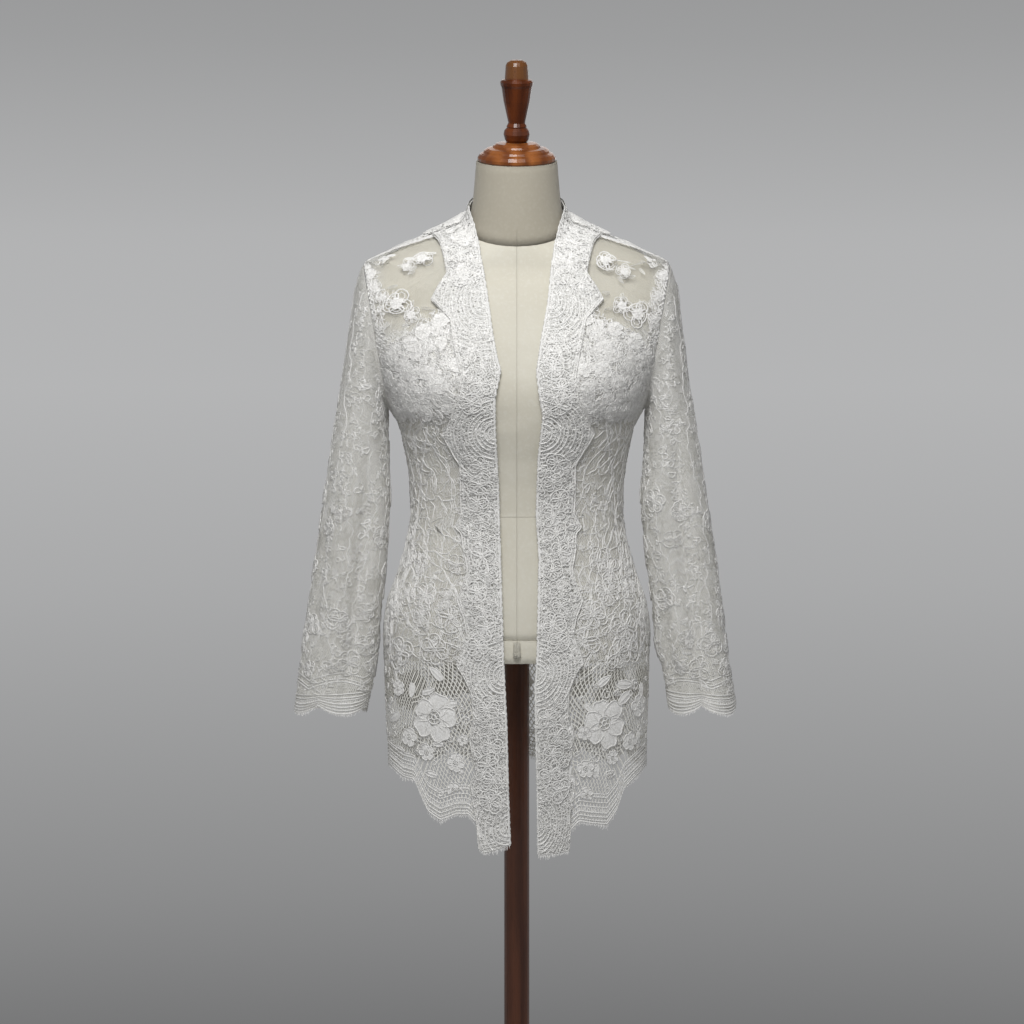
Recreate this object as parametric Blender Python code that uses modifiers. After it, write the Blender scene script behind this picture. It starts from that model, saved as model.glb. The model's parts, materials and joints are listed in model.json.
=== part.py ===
"""Kebaya blouse of white lace on a limbless dress form with a turned neck cap and a plain stand.

Metres, +Z up. The front faces -Y and the middle of the front lies at X = 0.
"""
import bpy
import bmesh
import math
import numpy as np
from mathutils import Matrix, Vector

for old in list(bpy.data.objects):
    bpy.data.objects.remove(old, do_unlink=True)

# Cloth
PANEL_WALL = 0.0013
BAND_WALL = 0.0014
SLEEVE_WALL = 0.0013
SEAM = 0.0005
BAND_LIFT = 0.0009

# Armhole: an oval in a plane that leans out towards the shoulder
ARM_BOTTOM_Z = 1.184
ARM_TOP_Z = 1.367
ARM_BOTTOM_X = 0.156
ARM_TOP_X = 0.190
ARM_HALF_DEPTH = 0.058

# Hip band of the form, with the flat bottom that the pole carries
BAND_BOTTOM_Z = 0.871
BAND_TOP_Z = 0.8992
BAND_PROUD = 0.0010

NECK_SEAM_Z = 1.416
NECK_TOP_Z = 1.497
NECK_TOP_TILT = 0.24
JOIN = 0.0003

POLE_RADIUS = 0.016
BASE_HEIGHT = 0.030

# Figure below the shoulder tip: height, half width
LOWER_WIDTH = (
    (0.600, 0.1560),
    (0.740, 0.1575),
    (0.800, 0.1605),
    (0.870, 0.1625),
    (0.900, 0.1630),
    (0.935, 0.1590),
    (0.970, 0.1470),
    (1.010, 0.1355),
    (1.055, 0.1290),
    (1.090, 0.1300),
    (1.120, 0.1340),
    (1.150, 0.1405),
    (1.170, 0.1470),
    (1.184, 0.1560),
)

# Shoulder ridge and neck: height, half width
UPPER_WIDTH = (
    (1.3670, 0.1900),
    (1.3765, 0.1700),
    (1.3860, 0.1486),
    (1.3950, 0.1235),
    (1.4040, 0.0978),
    (1.4100, 0.0810),
    (1.4160, 0.0675),
    (1.4300, 0.0590),
    (1.4470, 0.0556),
    (1.4700, 0.0535),
    (1.4970, 0.0513),
)

# Figure: height, depth in front, depth behind, tilt of the ring, squareness
DEPTHS = (
    (0.600, 0.0980, 0.1100, 0.000, 2.20),
    (0.740, 0.1000, 0.1120, 0.000, 2.20),
    (0.870, 0.1010, 0.1150, 0.000, 2.20),
    (0.930, 0.0985, 0.1120, 0.000, 2.20),
    (1.000, 0.0910, 0.0950, 0.000, 2.20),
    (1.055, 0.0880, 0.0840, 0.000, 2.20),
    (1.110, 0.0960, 0.0860, 0.000, 2.25),
    (1.160, 0.1090, 0.0920, 0.000, 2.35),
    (1.205, 0.1140, 0.0980, 0.000, 2.40),
    (1.250, 0.1060, 0.1030, 0.000, 2.35),
    (1.300, 0.0890, 0.1030, 0.000, 2.25),
    (1.340, 0.0745, 0.0955, 0.025, 2.20),
    (1.367, 0.0650, 0.0870, 0.080, 2.15),
    (1.386, 0.0605, 0.0790, 0.245, 2.10),
    (1.404, 0.0580, 0.0690, 0.414, 2.05),
    (1.416, 0.0570, 0.0610, 0.535, 2.00),
    (1.430, 0.0545, 0.0565, 0.500, 2.00),
    (1.447, 0.0525, 0.0540, 0.420, 2.00),
    (1.470, 0.0515, 0.0525, 0.330, 2.00),
    (1.497, 0.0510, 0.0515, 0.240, 2.00),
)

# Space between form and cloth: height, ease
EASE = (
    (0.600, 0.0040),
    (1.100, 0.0040),
    (1.200, 0.0034),
    (1.300, 0.0026),
    (1.345, 0.0024),
    (1.367, 0.0018),
    (1.400, 0.0018),
    (1.416, 0.0020),
    (1.450, 0.0016),
)

# Bust: distance from the middle, height, spread across, spread up, swell
BUST = (0.074, 1.205, 0.046, 0.052, 0.0080)

# Edge of the opening: height on the side line, distance from the middle
OPENING = {
    "left": (
        (0.640, 0.0077), (0.694, 0.0099), (0.793, 0.0123), (0.870, 0.0160), (0.948, 0.0184),
        (1.039, 0.0210), (1.093, 0.0224), (1.152, 0.0257), (1.196, 0.0269), (1.230, 0.0198),
        (1.247, 0.0245), (1.275, 0.0296), (1.330, 0.0372), (1.381, 0.0447), (1.404, 0.0460),
        (1.416, 0.0478), (1.4290, 0.0515), (1.4360, 0.0555),
    ),
    "right": (
        (0.640, 0.0253), (0.720, 0.0244), (0.785, 0.0226), (0.843, 0.0217), (0.882, 0.0244),
        (1.002, 0.0270), (1.053, 0.0234), (1.126, 0.0257), (1.178, 0.0318), (1.199, 0.0276),
        (1.228, 0.0240), (1.273, 0.0306), (1.312, 0.0379), (1.381, 0.0444), (1.404, 0.0460),
        (1.416, 0.0478), (1.4290, 0.0515), (1.4360, 0.0555),
    ),
}

# Width of the front border, seen from the front: height of its scalloped edge, width
BORDER_WIDTH = (
    (0.6387, 0.0400), (0.6765, 0.0415), (0.6962, 0.0445), (0.7196, 0.0470), (0.7343, 0.0395),
    (0.7503, 0.0430), (0.7761, 0.0470), (0.7994, 0.0405), (0.8338, 0.0425), (0.8520, 0.0500),
    (0.8682, 0.0590), (0.8879, 0.0515), (0.9051, 0.0450), (0.9260, 0.0480), (0.9481, 0.0560),
    (0.9660, 0.0470), (0.9850, 0.0420), (1.0120, 0.0465), (1.0292, 0.0480), (1.0366, 0.0560),
    (1.0540, 0.0475), (1.0821, 0.0480), (1.1153, 0.0465), (1.1276, 0.0530), (1.1558, 0.0660),
    (1.1700, 0.0560), (1.1927, 0.0480), (1.2700, 0.0480), (1.2923, 0.0475), (1.3180, 0.0655),
    (1.3340, 0.0560), (1.3520, 0.0430), (1.3805, 0.0470), (1.3970, 0.0490), (1.4125, 0.0475),
    (1.4275, 0.0450), (1.4420, 0.0420),
)

# Hem: distance from the middle, height
HEM = {
    "left": (
        (0.000, 0.6500), (0.010, 0.6490), (0.030, 0.6410), (0.041, 0.6387), (0.0500, 0.6458),
        (0.0520, 0.6765), (0.059, 0.6849), (0.074, 0.6842), (0.094, 0.6753), (0.109, 0.6848),
        (0.117, 0.7013), (0.126, 0.7237), (0.140, 0.7260), (0.150, 0.7330), (0.170, 0.7450),
    ),
    "right": (
        (0.000, 0.6450), (0.027, 0.6367), (0.045, 0.6380), (0.0640, 0.6405), (0.0660, 0.6649),
        (0.076, 0.6754), (0.090, 0.6720), (0.111, 0.6685), (0.124, 0.6866), (0.132, 0.7114),
        (0.143, 0.7218), (0.159, 0.7350), (0.170, 0.7500),
    ),
}
BACK_HEM_Z = 0.728
BACK_SCALLOP = 0.016
BACK_SCALLOPS = 6

# Gaps cut through the lace: ladder beside the armhole, and the row above the hem
LADDER_HEIGHTS = (1.283, 1.294, 1.305, 1.316, 1.327)
LADDER_IN = 0.0075
LADDER_SIZE = (0.0060, 0.0064)
HEM_GAP_UP = 0.024
HEM_GAP_SIZE = (0.0050, 0.0064)
FRONT_GAPS = (0.062, 0.0715, 0.081, 0.0905, 0.100, 0.1095, 0.119, 0.1285)
SIDE_GAPS = (0.790, 0.890)
BACK_GAPS = 20

# Rows of the front: share of the way from the hem up to the hip
HIP_Z = 0.930
LOWER_ROWS = (0.0, 0.095, 0.180, 0.262, 0.313, 0.370, 0.460, 0.542, 0.663, 0.726, 0.783, 0.852, 0.913, 1.0)
MIDDLE_ROWS = (
    0.948, 0.966, 0.985, 1.003, 1.020, 1.0366, 1.054, 1.072, 1.092, 1.110, 1.1276, 1.142, 1.1558,
    1.170, 1.184,
)
# Rows that fan out round the shoulder: height at the opening
FAN_ROWS = (
    1.206, 1.230, 1.255, 1.279, 1.302, 1.323, 1.355, 1.369, 1.380, 1.391, 1.401, 1.411, 1.4205, 1.4290,
    1.4360, 1.442,
)

# Seam between front and side front: height, share of the way round to the side line
FRONT_SEAM = (
    (0.600, 0.700), (0.740, 0.710), (0.850, 0.735), (0.950, 0.750), (1.030, 0.750), (1.075, 0.720),
    (1.120, 0.620), (1.155, 0.520), (1.184, 0.450),
)
# The same seam over the fan rows, up to the armhole
FRONT_SEAM_FAN = (0.465, 0.505, 0.560, 0.640, 0.735, 0.835, 0.925, 1.0)

BORDER_COLUMNS = 3
FRONT_SPREAD = (0.075, 0.27, 0.50, 0.75, 1.0)
SIDE_COLUMNS = 3
BACK_COLUMNS = 18

# Sleeve: height of the outer line, outer x left, outer x right
SLEEVE_OUTER = (
    (1.3670, 0.1955, 0.1950), (1.3530, 0.2005, 0.1990), (1.3340, 0.2050, 0.2045), (1.2925, 0.2110, 0.2085),
    (1.2540, 0.2167, 0.2140), (1.2175, 0.2220, 0.2180), (1.1810, 0.2280, 0.2245), (1.1450, 0.2337, 0.2300),
    (1.0970, 0.2407, 0.2370), (1.0080, 0.2530, 0.2500), (0.9400, 0.2634, 0.2590), (0.8720, 0.2725, 0.2670),
    (0.8080, 0.2804, 0.2770), (0.7800, 0.2835, 0.2800),
)
# Sleeve below the arm: height of the inner line, inner x left, inner x right
SLEEVE_INNER = (
    (1.1800, 0.1630, 0.1630), (1.1400, 0.1620, 0.1615), (1.0900, 0.1605, 0.1585), (1.0750, 0.1602, 0.1570),
    (1.0300, 0.1630, 0.1605), (0.9900, 0.1650, 0.1640), (0.9400, 0.1700, 0.1705), (0.9050, 0.1730, 0.1735),
    (0.8950, 0.1735, 0.1740), (0.8450, 0.1800, 0.1860), (0.8030, 0.1890, 0.1920), (0.7800, 0.1930, 0.1960),
)
# Sleeve: height, half depth, middle in depth
SLEEVE_DEPTH = (
    (1.3670, 0.0590, 0.000), (1.1800, 0.0560, 0.000), (1.1000, 0.0510, -0.002), (1.0000, 0.0460, -0.005),
    (0.9400, 0.0430, -0.008), (0.8700, 0.0410, -0.010), (0.8000, 0.0390, -0.012),
)
SLEEVE_COLUMNS = 20
# Rings of the sleeve: height of the outer point, height of the inner point
SLEEVE_RINGS = (
    (1.3575, 1.1830), (1.3400, 1.1805), (1.3150, 1.1780), (1.2800, 1.1745), (1.2450, 1.1700),
    (1.2100, 1.1640), (1.1750, 1.1550), (1.1400, 1.1350), (1.1000, 1.1020), (1.0600, 1.0640),
    (1.0200, 1.0240), (0.9600, 0.9640), (0.9000, 0.9050), (0.8700, 0.8750), (0.8450, 0.8500),
    (0.8250, 0.8300), (0.8060, 0.8060),
)
SLEEVE_HEAD_ROWS = 7  # the head ends at this row of the grid, and the arm begins below it
SLEEVE_SPLIT_GAP = 0.0004
# Long folds of the sleeves: angle from the outer line (front positive), spread, depth, top, bottom
SLEEVE_FOLDS = {
    "left": (
        (112.0, 17.0, 0.0085, 1.150, 0.800), (38.0, 20.0, 0.0045, 1.120, 0.860),
        (-70.0, 22.0, 0.0060, 1.180, 0.800), (-130.0, 22.0, 0.0050, 1.080, 0.780),
    ),
    "right": (
        (86.0, 17.0, 0.0090, 1.200, 0.780), (140.0, 18.0, 0.0045, 1.050, 0.800),
        (-62.0, 22.0, 0.0060, 1.180, 0.800), (-126.0, 22.0, 0.0050, 1.080, 0.780),
    ),
}
CUFF_SCALLOPS = 4
CUFF_SCALLOP = 0.013
CUFF_NOTCH = {"left": 72.0, "right": 94.0}


def smooth(table, at, column=1):
    """Smooth curve through the column of a table whose first column rises."""
    xs = [row[0] for row in table]
    ys = [row[column] for row in table]
    at = min(max(at, xs[0]), xs[-1])
    i = min(max(int(np.searchsorted(xs, at)) - 1, 0), len(xs) - 2)
    steps = [(ys[k + 1] - ys[k]) / (xs[k + 1] - xs[k]) for k in range(len(xs) - 1)]

    def slope(k):
        if k == 0:
            return steps[0]
        if k == len(xs) - 1:
            return steps[-1]
        before, after = steps[k - 1], steps[k]
        if before * after <= 0.0:
            return 0.0
        return 2.0 * before * after / (before + after)

    width = xs[i + 1] - xs[i]
    t = (at - xs[i]) / width
    return (
        (2 * t**3 - 3 * t**2 + 1) * ys[i]
        + (t**3 - 2 * t**2 + t) * width * slope(i)
        + (3 * t**2 - 2 * t**3) * ys[i + 1]
        + (t**3 - t**2) * width * slope(i + 1)
    )


def straight(table, at, column=1):
    return float(np.interp(at, [row[0] for row in table], [row[column] for row in table]))


def arm_share(height):
    """0 at the ends of the armhole, 1 halfway up it."""
    middle = (ARM_BOTTOM_Z + ARM_TOP_Z) / 2
    half = (ARM_TOP_Z - ARM_BOTTOM_Z) / 2
    return math.sqrt(max(0.0, 1.0 - ((height - middle) / half) ** 2))


def half_width(height):
    if height >= ARM_TOP_Z:
        return smooth(UPPER_WIDTH, height)
    if height <= ARM_BOTTOM_Z:
        return smooth(LOWER_WIDTH, height)
    share = (height - ARM_BOTTOM_Z) / (ARM_TOP_Z - ARM_BOTTOM_Z)
    return ARM_BOTTOM_X + (ARM_TOP_X - ARM_BOTTOM_X) * share


def body(turn, height):
    """Point of the form: turn 0 in the middle of the front, 1 at the side, 2 in the middle of the back."""
    front = turn <= 1.0
    depth = smooth(DEPTHS, height, 1 if front else 2)
    tilt = smooth(DEPTHS, height, 3)
    square = smooth(DEPTHS, height, 4)
    edge = half_width(height)
    cut = ARM_HALF_DEPTH * arm_share(height)
    full = edge / (1.0 - (cut / depth) ** square) ** (1.0 / square)
    last = math.asin(min(1.0, (edge / full) ** (square / 2.0)))
    angle = last * (turn if front else 2.0 - turn)
    x = full * max(0.0, math.sin(angle)) ** (2.0 / square)
    y = depth * max(0.0, math.cos(angle)) ** (2.0 / square)
    if front:
        across = (x - BUST[0]) / BUST[2]
        up = (height - BUST[1]) / BUST[3]
        y = -(y + BUST[4] * math.exp(-across * across - up * up) * min(1.0, y / 0.05))
    return Vector((x, y, height + tilt * y))


def body_normal(turn, height):
    step = 0.004
    low = 0.001
    t0, t1 = max(turn - step, 0.0), min(turn + step, 2.0)
    if turn < 1.0 < t1:
        t1 = 1.0
    if t0 < 1.0 < turn:
        t0 = 1.0
    h0, h1 = height - low, height + low
    for stop in (ARM_BOTTOM_Z, ARM_TOP_Z):
        if h0 < stop <= height:
            h0 = stop
        if height <= stop < h1:
            h1 = stop
    if h1 - h0 < 1e-6:
        h0 = height - low
    across = body(t1, height) - body(t0, height)
    up = body(turn, h1) - body(turn, h0)
    normal = across.cross(up)
    if across.length < 1e-9 or normal.length < 1e-12:
        return Vector((1.0, 0.0, 0.0))
    return normal.normalized()


def wave(turn, height, side):
    """Soft waves of the skirt of the blouse."""
    share = min(1.0, max(0.0, (0.90 - height) / 0.20))
    return 0.0028 * share * share * (3 - 2 * share) * math.cos(turn * 7.6 + (0.6 if side == "left" else 0.0))


def cloth(turn, height, side="right", lift=0.0):
    """Point of the inner face of the cloth, on the right-hand side (+X)."""
    at = body(turn, height)
    ease = straight(EASE, height) + wave(turn, height, side)
    return at + body_normal(turn, height) * (ease + lift)


def turn_at(x, height):
    """Turn of the front whose point lies this far from the middle."""
    low, high = 0.0, 1.0
    if x >= cloth(1.0, height).x:
        return 1.0
    for _ in range(30):
        middle = (low + high) / 2
        if cloth(middle, height).x < x:
            low = middle
        else:
            high = middle
    return (low + high) / 2


def seam_turn(height, column=1):
    """Half of a seam's gap, as a turn, at the side line of the front (1) or the back (2)."""
    share = (SEAM / 2 / smooth(DEPTHS, height, column)) ** (smooth(DEPTHS, height, 4) / 2)
    return 1.0 - math.acos(share) / (math.pi / 2)


def material(name, colour, roughness, sheen=0.0):
    made = bpy.data.materials.new(name)
    made.use_nodes = True
    shader = made.node_tree.nodes["Principled BSDF"]
    shader.inputs["Base Color"].default_value = (*colour, 1.0)
    shader.inputs["Roughness"].default_value = roughness
    shader.inputs["Sheen Weight"].default_value = sheen
    return made


def place(name, mesh, collection, colour, roughness, sheen=0.0):
    thing = bpy.data.objects.new(name, mesh)
    collection.objects.link(thing)
    mesh.materials.append(material(name, colour, roughness, sheen))
    return thing


kebaya = bpy.data.collections.new("kebaya_on_dress_form")
bpy.context.scene.collection.children.link(kebaya)
cutters = bpy.data.collections.new("cutters")
bpy.context.scene.collection.children.link(cutters)

LACE = (0.86, 0.86, 0.83)
LINEN = (0.70, 0.66, 0.57)
WOOD = (0.20, 0.065, 0.025)


def grid_normals(grid):
    """Vertex normals of a grid of points, facing along (next column) x (next row)."""
    points = np.array([[tuple(p) for p in row] for row in grid])
    total = np.zeros_like(points)
    a, b = points[:-1, :-1], points[:-1, 1:]
    c, d = points[1:, 1:], points[1:, :-1]
    face = np.cross(c - a, d - b)
    face /= np.maximum(np.linalg.norm(face, axis=2, keepdims=True), 1e-12)
    total[:-1, :-1] += face
    total[:-1, 1:] += face
    total[1:, 1:] += face
    total[1:, :-1] += face
    return points, total / np.maximum(np.linalg.norm(total, axis=2, keepdims=True), 1e-12)


def moved_out(grid, distance):
    points, normals = grid_normals(grid)
    return points + normals * distance


def sheet(name, grid, wall, mirrored=False, closed=False):
    """Shell of cloth: an open grid of points, thickened outwards."""
    points = np.array([[tuple(p) for p in row] for row in grid])
    if mirrored:
        points[:, :, 0] *= -1
    rows, columns = points.shape[:2]
    vertices = points.reshape(-1, 3).tolist()
    faces = []
    for r in range(rows - 1):
        for c in range(columns if closed else columns - 1):
            n = (c + 1) % columns
            quad = (r * columns + c, r * columns + n, (r + 1) * columns + n, (r + 1) * columns + c)
            faces.append(quad[::-1] if mirrored else quad)
    mesh = bpy.data.meshes.new(name)
    mesh.from_pydata(vertices, [], faces)
    thing = place(name, mesh, kebaya, LACE, 0.75, 0.3)
    thick = thing.modifiers.new("wall", "SOLIDIFY")
    thick.thickness = wall
    thick.offset = 1.0
    for polygon in mesh.polygons:
        polygon.use_smooth = True
    return thing


def lofted(name, rings, colour, roughness, sheen=0.0):
    """Closed solid through rings of points that run anticlockwise seen from above, bottom first."""
    body_mesh = bmesh.new()
    made = [[body_mesh.verts.new(p) for p in ring] for ring in rings]
    count = len(made[0])
    for lower, upper in zip(made, made[1:]):
        for i in range(count):
            n = (i + 1) % count
            body_mesh.faces.new((lower[i], lower[n], upper[n], upper[i]))
    for ring, flip in ((made[0], True), (made[-1], False)):
        middle = body_mesh.verts.new(sum((v.co for v in ring), Vector()) / count)
        for i in range(count):
            n = (i + 1) % count
            corners = (ring[n], ring[i], middle) if flip else (ring[i], ring[n], middle)
            body_mesh.faces.new(corners)
    bmesh.ops.remove_doubles(body_mesh, verts=body_mesh.verts, dist=1e-5)
    bmesh.ops.dissolve_degenerate(body_mesh, edges=body_mesh.edges, dist=1e-6)
    bmesh.ops.recalc_face_normals(body_mesh, faces=body_mesh.faces)
    mesh = bpy.data.meshes.new(name)
    body_mesh.to_mesh(mesh)
    body_mesh.free()
    thing = place(name, mesh, kebaya, colour, roughness, sheen)
    for polygon in mesh.polygons:
        polygon.use_smooth = True
    mesh.set_sharp_from_angle(angle=math.radians(40))
    return thing


def turned(name, profile, steps, colour, roughness, matrix=None):
    """Turned solid: the profile runs down its outer side, from the top to the bottom."""
    mesh = bpy.data.meshes.new(name)
    mesh.from_pydata([(r, 0.0, z) for r, z in profile], [(i, i + 1) for i in range(len(profile) - 1)], [])
    thing = place(name, mesh, kebaya, colour, roughness)
    screw = thing.modifiers.new("turn", "SCREW")
    screw.axis = "Z"
    screw.steps = steps
    screw.render_steps = steps
    screw.use_merge_vertices = True
    screw.merge_threshold = 0.00005
    screw.use_normal_calculate = False
    screw.use_smooth_shade = True
    if matrix is not None:
        thing.matrix_world = matrix
    return thing


# Dress form: torso, hip band, tab, neck

FORM_SIDE = 7
FORM_RINGS = (
    0.8995, 0.918, 0.940, 0.962, 0.990, 1.022, 1.055, 1.088, 1.120, 1.155, 1.184,
    1.190, 1.203, 1.220, 1.241, 1.265, 1.290, 1.315, 1.336, 1.352, 1.362, 1.367, 1.375, 1.385,
    1.396, 1.407, 1.416,
)


# The form is a little slimmer at the shoulder tip than the cloth's own line: height, inset
FORM_INSET = ((1.315, 0.0), (1.340, 0.0018), (1.352, 0.0040), (1.367, 0.0040), (1.385, 0.0010), (1.404, 0.0))


def form_ring(height, out=0.0):
    """Ring of the form, anticlockwise from the middle of the front, with a flat arm plate each side."""
    out -= straight(FORM_INSET, height)
    points = []
    for i in range(FORM_SIDE + 1):
        turn = i / FORM_SIDE
        points.append(body(turn, height) + body_normal(turn, height) * out)
    edge = points[-1]
    behind = []
    for i in range(FORM_SIDE, -1, -1):
        turn = 2.0 - i / FORM_SIDE
        behind.append(body(turn, height) + body_normal(turn, height) * out)
    right = points + ([] if (edge - behind[0]).length < 1e-4 else [(edge + behind[0]) / 2]) + behind
    if len(right) == 2 * FORM_SIDE + 2:
        right.insert(FORM_SIDE + 1, edge.copy())
    left = [Vector((-p.x, p.y, p.z)) for p in right[-2:0:-1]]
    return right + left


lofted("form_torso", [form_ring(h) for h in FORM_RINGS[:-1]] + [form_ring(NECK_SEAM_Z - JOIN / 2)], LINEN, 0.8, 0.2)
lofted(
    "form_hip_band",
    [form_ring(h, BAND_PROUD) for h in (BAND_BOTTOM_Z, BAND_BOTTOM_Z + 0.009, BAND_BOTTOM_Z + 0.018, BAND_TOP_Z)],
    LINEN, 0.8, 0.2,
)


def neck_ring(height):
    return [
        Vector((s * p.x, p.y, p.z))
        for s, turns in ((1, range(0, 17)), (-1, range(15, 0, -1)))
        for p in (body(t / 8, height) for t in turns)
    ]


lofted(
    "form_neck",
    [neck_ring(h) for h in (NECK_SEAM_Z + JOIN / 2, 1.423, 1.432, 1.447, 1.470, NECK_TOP_Z)],
    LINEN, 0.8, 0.2,
)

# Small tab in the middle of the hip band, with a thicker rounded foot
front_y = body(0.0, BAND_BOTTOM_Z).y - BAND_PROUD
TAB = (
    # height, half width, depth
    (0.8780, 0.0022, 0.0030),
    (0.8786, 0.0040, 0.0044),
    (0.8815, 0.0050, 0.0056),
    (0.8845, 0.0049, 0.0050),
    (0.8860, 0.0042, 0.0030),
    (0.8945, 0.0042, 0.0026),
    (0.8975, 0.0038, 0.0020),
)
tab_rings = []
for z, wide, deep in TAB:
    back_y = front_y - JOIN
    tab_rings.append([
        Vector((-wide, back_y, z)), Vector((-wide * 0.92, back_y - deep * 0.75, z)),
        Vector((-wide * 0.5, back_y - deep, z)), Vector((wide * 0.5, back_y - deep, z)),
        Vector((wide * 0.92, back_y - deep * 0.75, z)), Vector((wide, back_y, z)),
    ])
lofted("form_tab", tab_rings, LINEN, 0.7)

# Neck cap and finial, leaning with the top of the neck

lean = Matrix.Translation((0.0, 0.0, NECK_TOP_Z)) @ Matrix.Rotation(math.atan(NECK_TOP_TILT), 4, "X")
CAP = (
    (0.0, 0.0240), (0.0160, 0.0240), (0.0255, 0.0228), (0.0296, 0.0200), (0.0308, 0.0178),
    (0.0372, 0.0164), (0.0412, 0.0138), (0.0424, 0.0114), (0.0468, 0.0090), (0.0497, 0.0050),
    (0.0497, 0.0018), (0.0482, 0.0), (0.0, 0.0),
)
turned("neck_cap", CAP, 28, WOOD, 0.3, lean @ Matrix.Translation((0.0, 0.0, JOIN)))
FINIAL = (
    (0.0, 0.1040), (0.0075, 0.1031), (0.0120, 0.1006), (0.0140, 0.0963), (0.0152, 0.0796),
    (0.0188, 0.0783), (0.0210, 0.0757), (0.0206, 0.0720), (0.0192, 0.0687), (0.0168, 0.0519),
    (0.0122, 0.0308), (0.0107, 0.0241), (0.0130, 0.0198), (0.0126, 0.0182), (0.0158, 0.0146),
    (0.0168, 0.0098), (0.0150, 0.0030), (0.0130, 0.0), (0.0, 0.0),
)
turned("finial", FINIAL, 20, WOOD, 0.28, lean @ Matrix.Translation((0.0, 0.0, 0.0240 + 2 * JOIN)))

# Stand: round base and plain pole

turned(
    "base",
    (
        (0.0, BASE_HEIGHT), (0.024, BASE_HEIGHT), (0.040, 0.0270), (0.120, 0.0225), (0.185, 0.0200),
        (0.202, 0.0165), (0.208, 0.0110), (0.208, 0.0020), (0.206, 0.0), (0.0, 0.0),
    ),
    40, WOOD, 0.3,
)
turned(
    "pole",
    (
        (0.0, BAND_BOTTOM_Z - JOIN), (POLE_RADIUS, BAND_BOTTOM_Z - JOIN), (POLE_RADIUS, BASE_HEIGHT + JOIN),
        (0.0, BASE_HEIGHT + JOIN),
    ),
    20, WOOD, 0.3,
)

def cut(thing, places, size):
    """Cuts six-sided gaps through a sheet: each place is a point, a normal and an upward direction."""
    made = bmesh.new()
    for at, normal, up in places:
        normal = normal.normalized()
        across = up.cross(normal).normalized()
        up = normal.cross(across)
        ends = []
        for depth in (-0.006, 0.006):
            ring = []
            for i in range(6):
                angle = math.radians(60 * i)
                point = at + across * math.cos(angle) * size[0] / 2 + up * math.sin(angle) * size[1] / 2
                ring.append(made.verts.new(point + normal * depth))
            ends.append(ring)
        made.faces.new(ends[0][::-1])
        made.faces.new(ends[1])
        for i in range(6):
            n = (i + 1) % 6
            made.faces.new((ends[0][i], ends[0][n], ends[1][n], ends[1][i]))
    bmesh.ops.recalc_face_normals(made, faces=made.faces)
    mesh = bpy.data.meshes.new(thing.name + "_gaps")
    made.to_mesh(mesh)
    made.free()
    cutter = bpy.data.objects.new(thing.name + "_gaps", mesh)
    cutters.objects.link(cutter)
    cutter.hide_render = True
    cutter.display_type = "WIRE"
    boolean = thing.modifiers.new("gaps", "BOOLEAN")
    boolean.operation = "DIFFERENCE"
    boolean.solver = "EXACT"
    boolean.object = cutter


def gap_place(turn, height, side, up_to=None):
    """Point, normal and upward direction of a gap of the fronts or the back."""
    mirror = Vector((-1.0 if side == "left" else 1.0, 1.0, 1.0))
    at = cloth(turn, height, side)
    up = (up_to or cloth(turn, height + 0.004, side)) - at
    return at * mirror, body_normal(turn, height) * mirror, up * mirror


# Fronts of the blouse


def fan_height(k, rows=len(FAN_ROWS)):
    """Height on the armhole's edge of fan row k."""
    middle = (ARM_BOTTOM_Z + ARM_TOP_Z) / 2
    half = (ARM_TOP_Z - ARM_BOTTOM_Z) / 2
    return middle - half * math.cos(math.pi * k / rows)


def hem_height(side, x):
    return straight(HEM[side], x)


def front_row(side, kind, value):
    """One row of a front: its ends as (turn, height), the border's share and the seam's share of the way across."""
    if kind == "fan":
        whole = int(value)
        part = value - whole
        inner = FAN_ROWS[whole - 1] if whole else MIDDLE_ROWS[-1]
        if part:
            inner += (FAN_ROWS[whole] - inner) * part
        outer = fan_height(value)
        seams = (FRONT_SEAM[-1][1],) + FRONT_SEAM_FAN + (1.0,) * len(FAN_ROWS)
        seam = seams[whole] + (seams[whole + 1] - seams[whole]) * part
    else:
        inner = outer = value
        seam = None
    if value == len(FAN_ROWS) and kind == "fan":
        first = 1.0 - seam_turn(inner)
    else:
        first = turn_at(straight(OPENING[side], inner), inner) if inner < 1.4365 else 1.0
    last = 1.0 - seam_turn(outer) if kind != "fan" or value >= len(FAN_ROWS) else 1.0

    def at(share):
        return first + (last - first) * share, inner + (outer - inner) * share

    if seam is None:
        seam = (straight(FRONT_SEAM, value) - first) / (last - first)
    start = cloth(*at(0.0)).x
    low, high = 0.0, 1.0
    for _ in range(30):
        middle = (low + high) / 2
        point = cloth(*at(middle))
        if point.x < start + straight(BORDER_WIDTH, point.z if kind == "fan" else inner):
            low = middle
        else:
            high = middle
    return at, low, seam


def front_shares(border, seam, gap):
    """Shares of the way across at the columns of border, front and side front."""
    first = [border * i / BORDER_COLUMNS for i in range(BORDER_COLUMNS + 1)]
    front = [border + (seam - gap - border) * share for share in FRONT_SPREAD]
    side = [seam + gap + (1.0 - seam - gap) * i / SIDE_COLUMNS for i in range(SIDE_COLUMNS + 1)]
    return first + front, side


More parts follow.
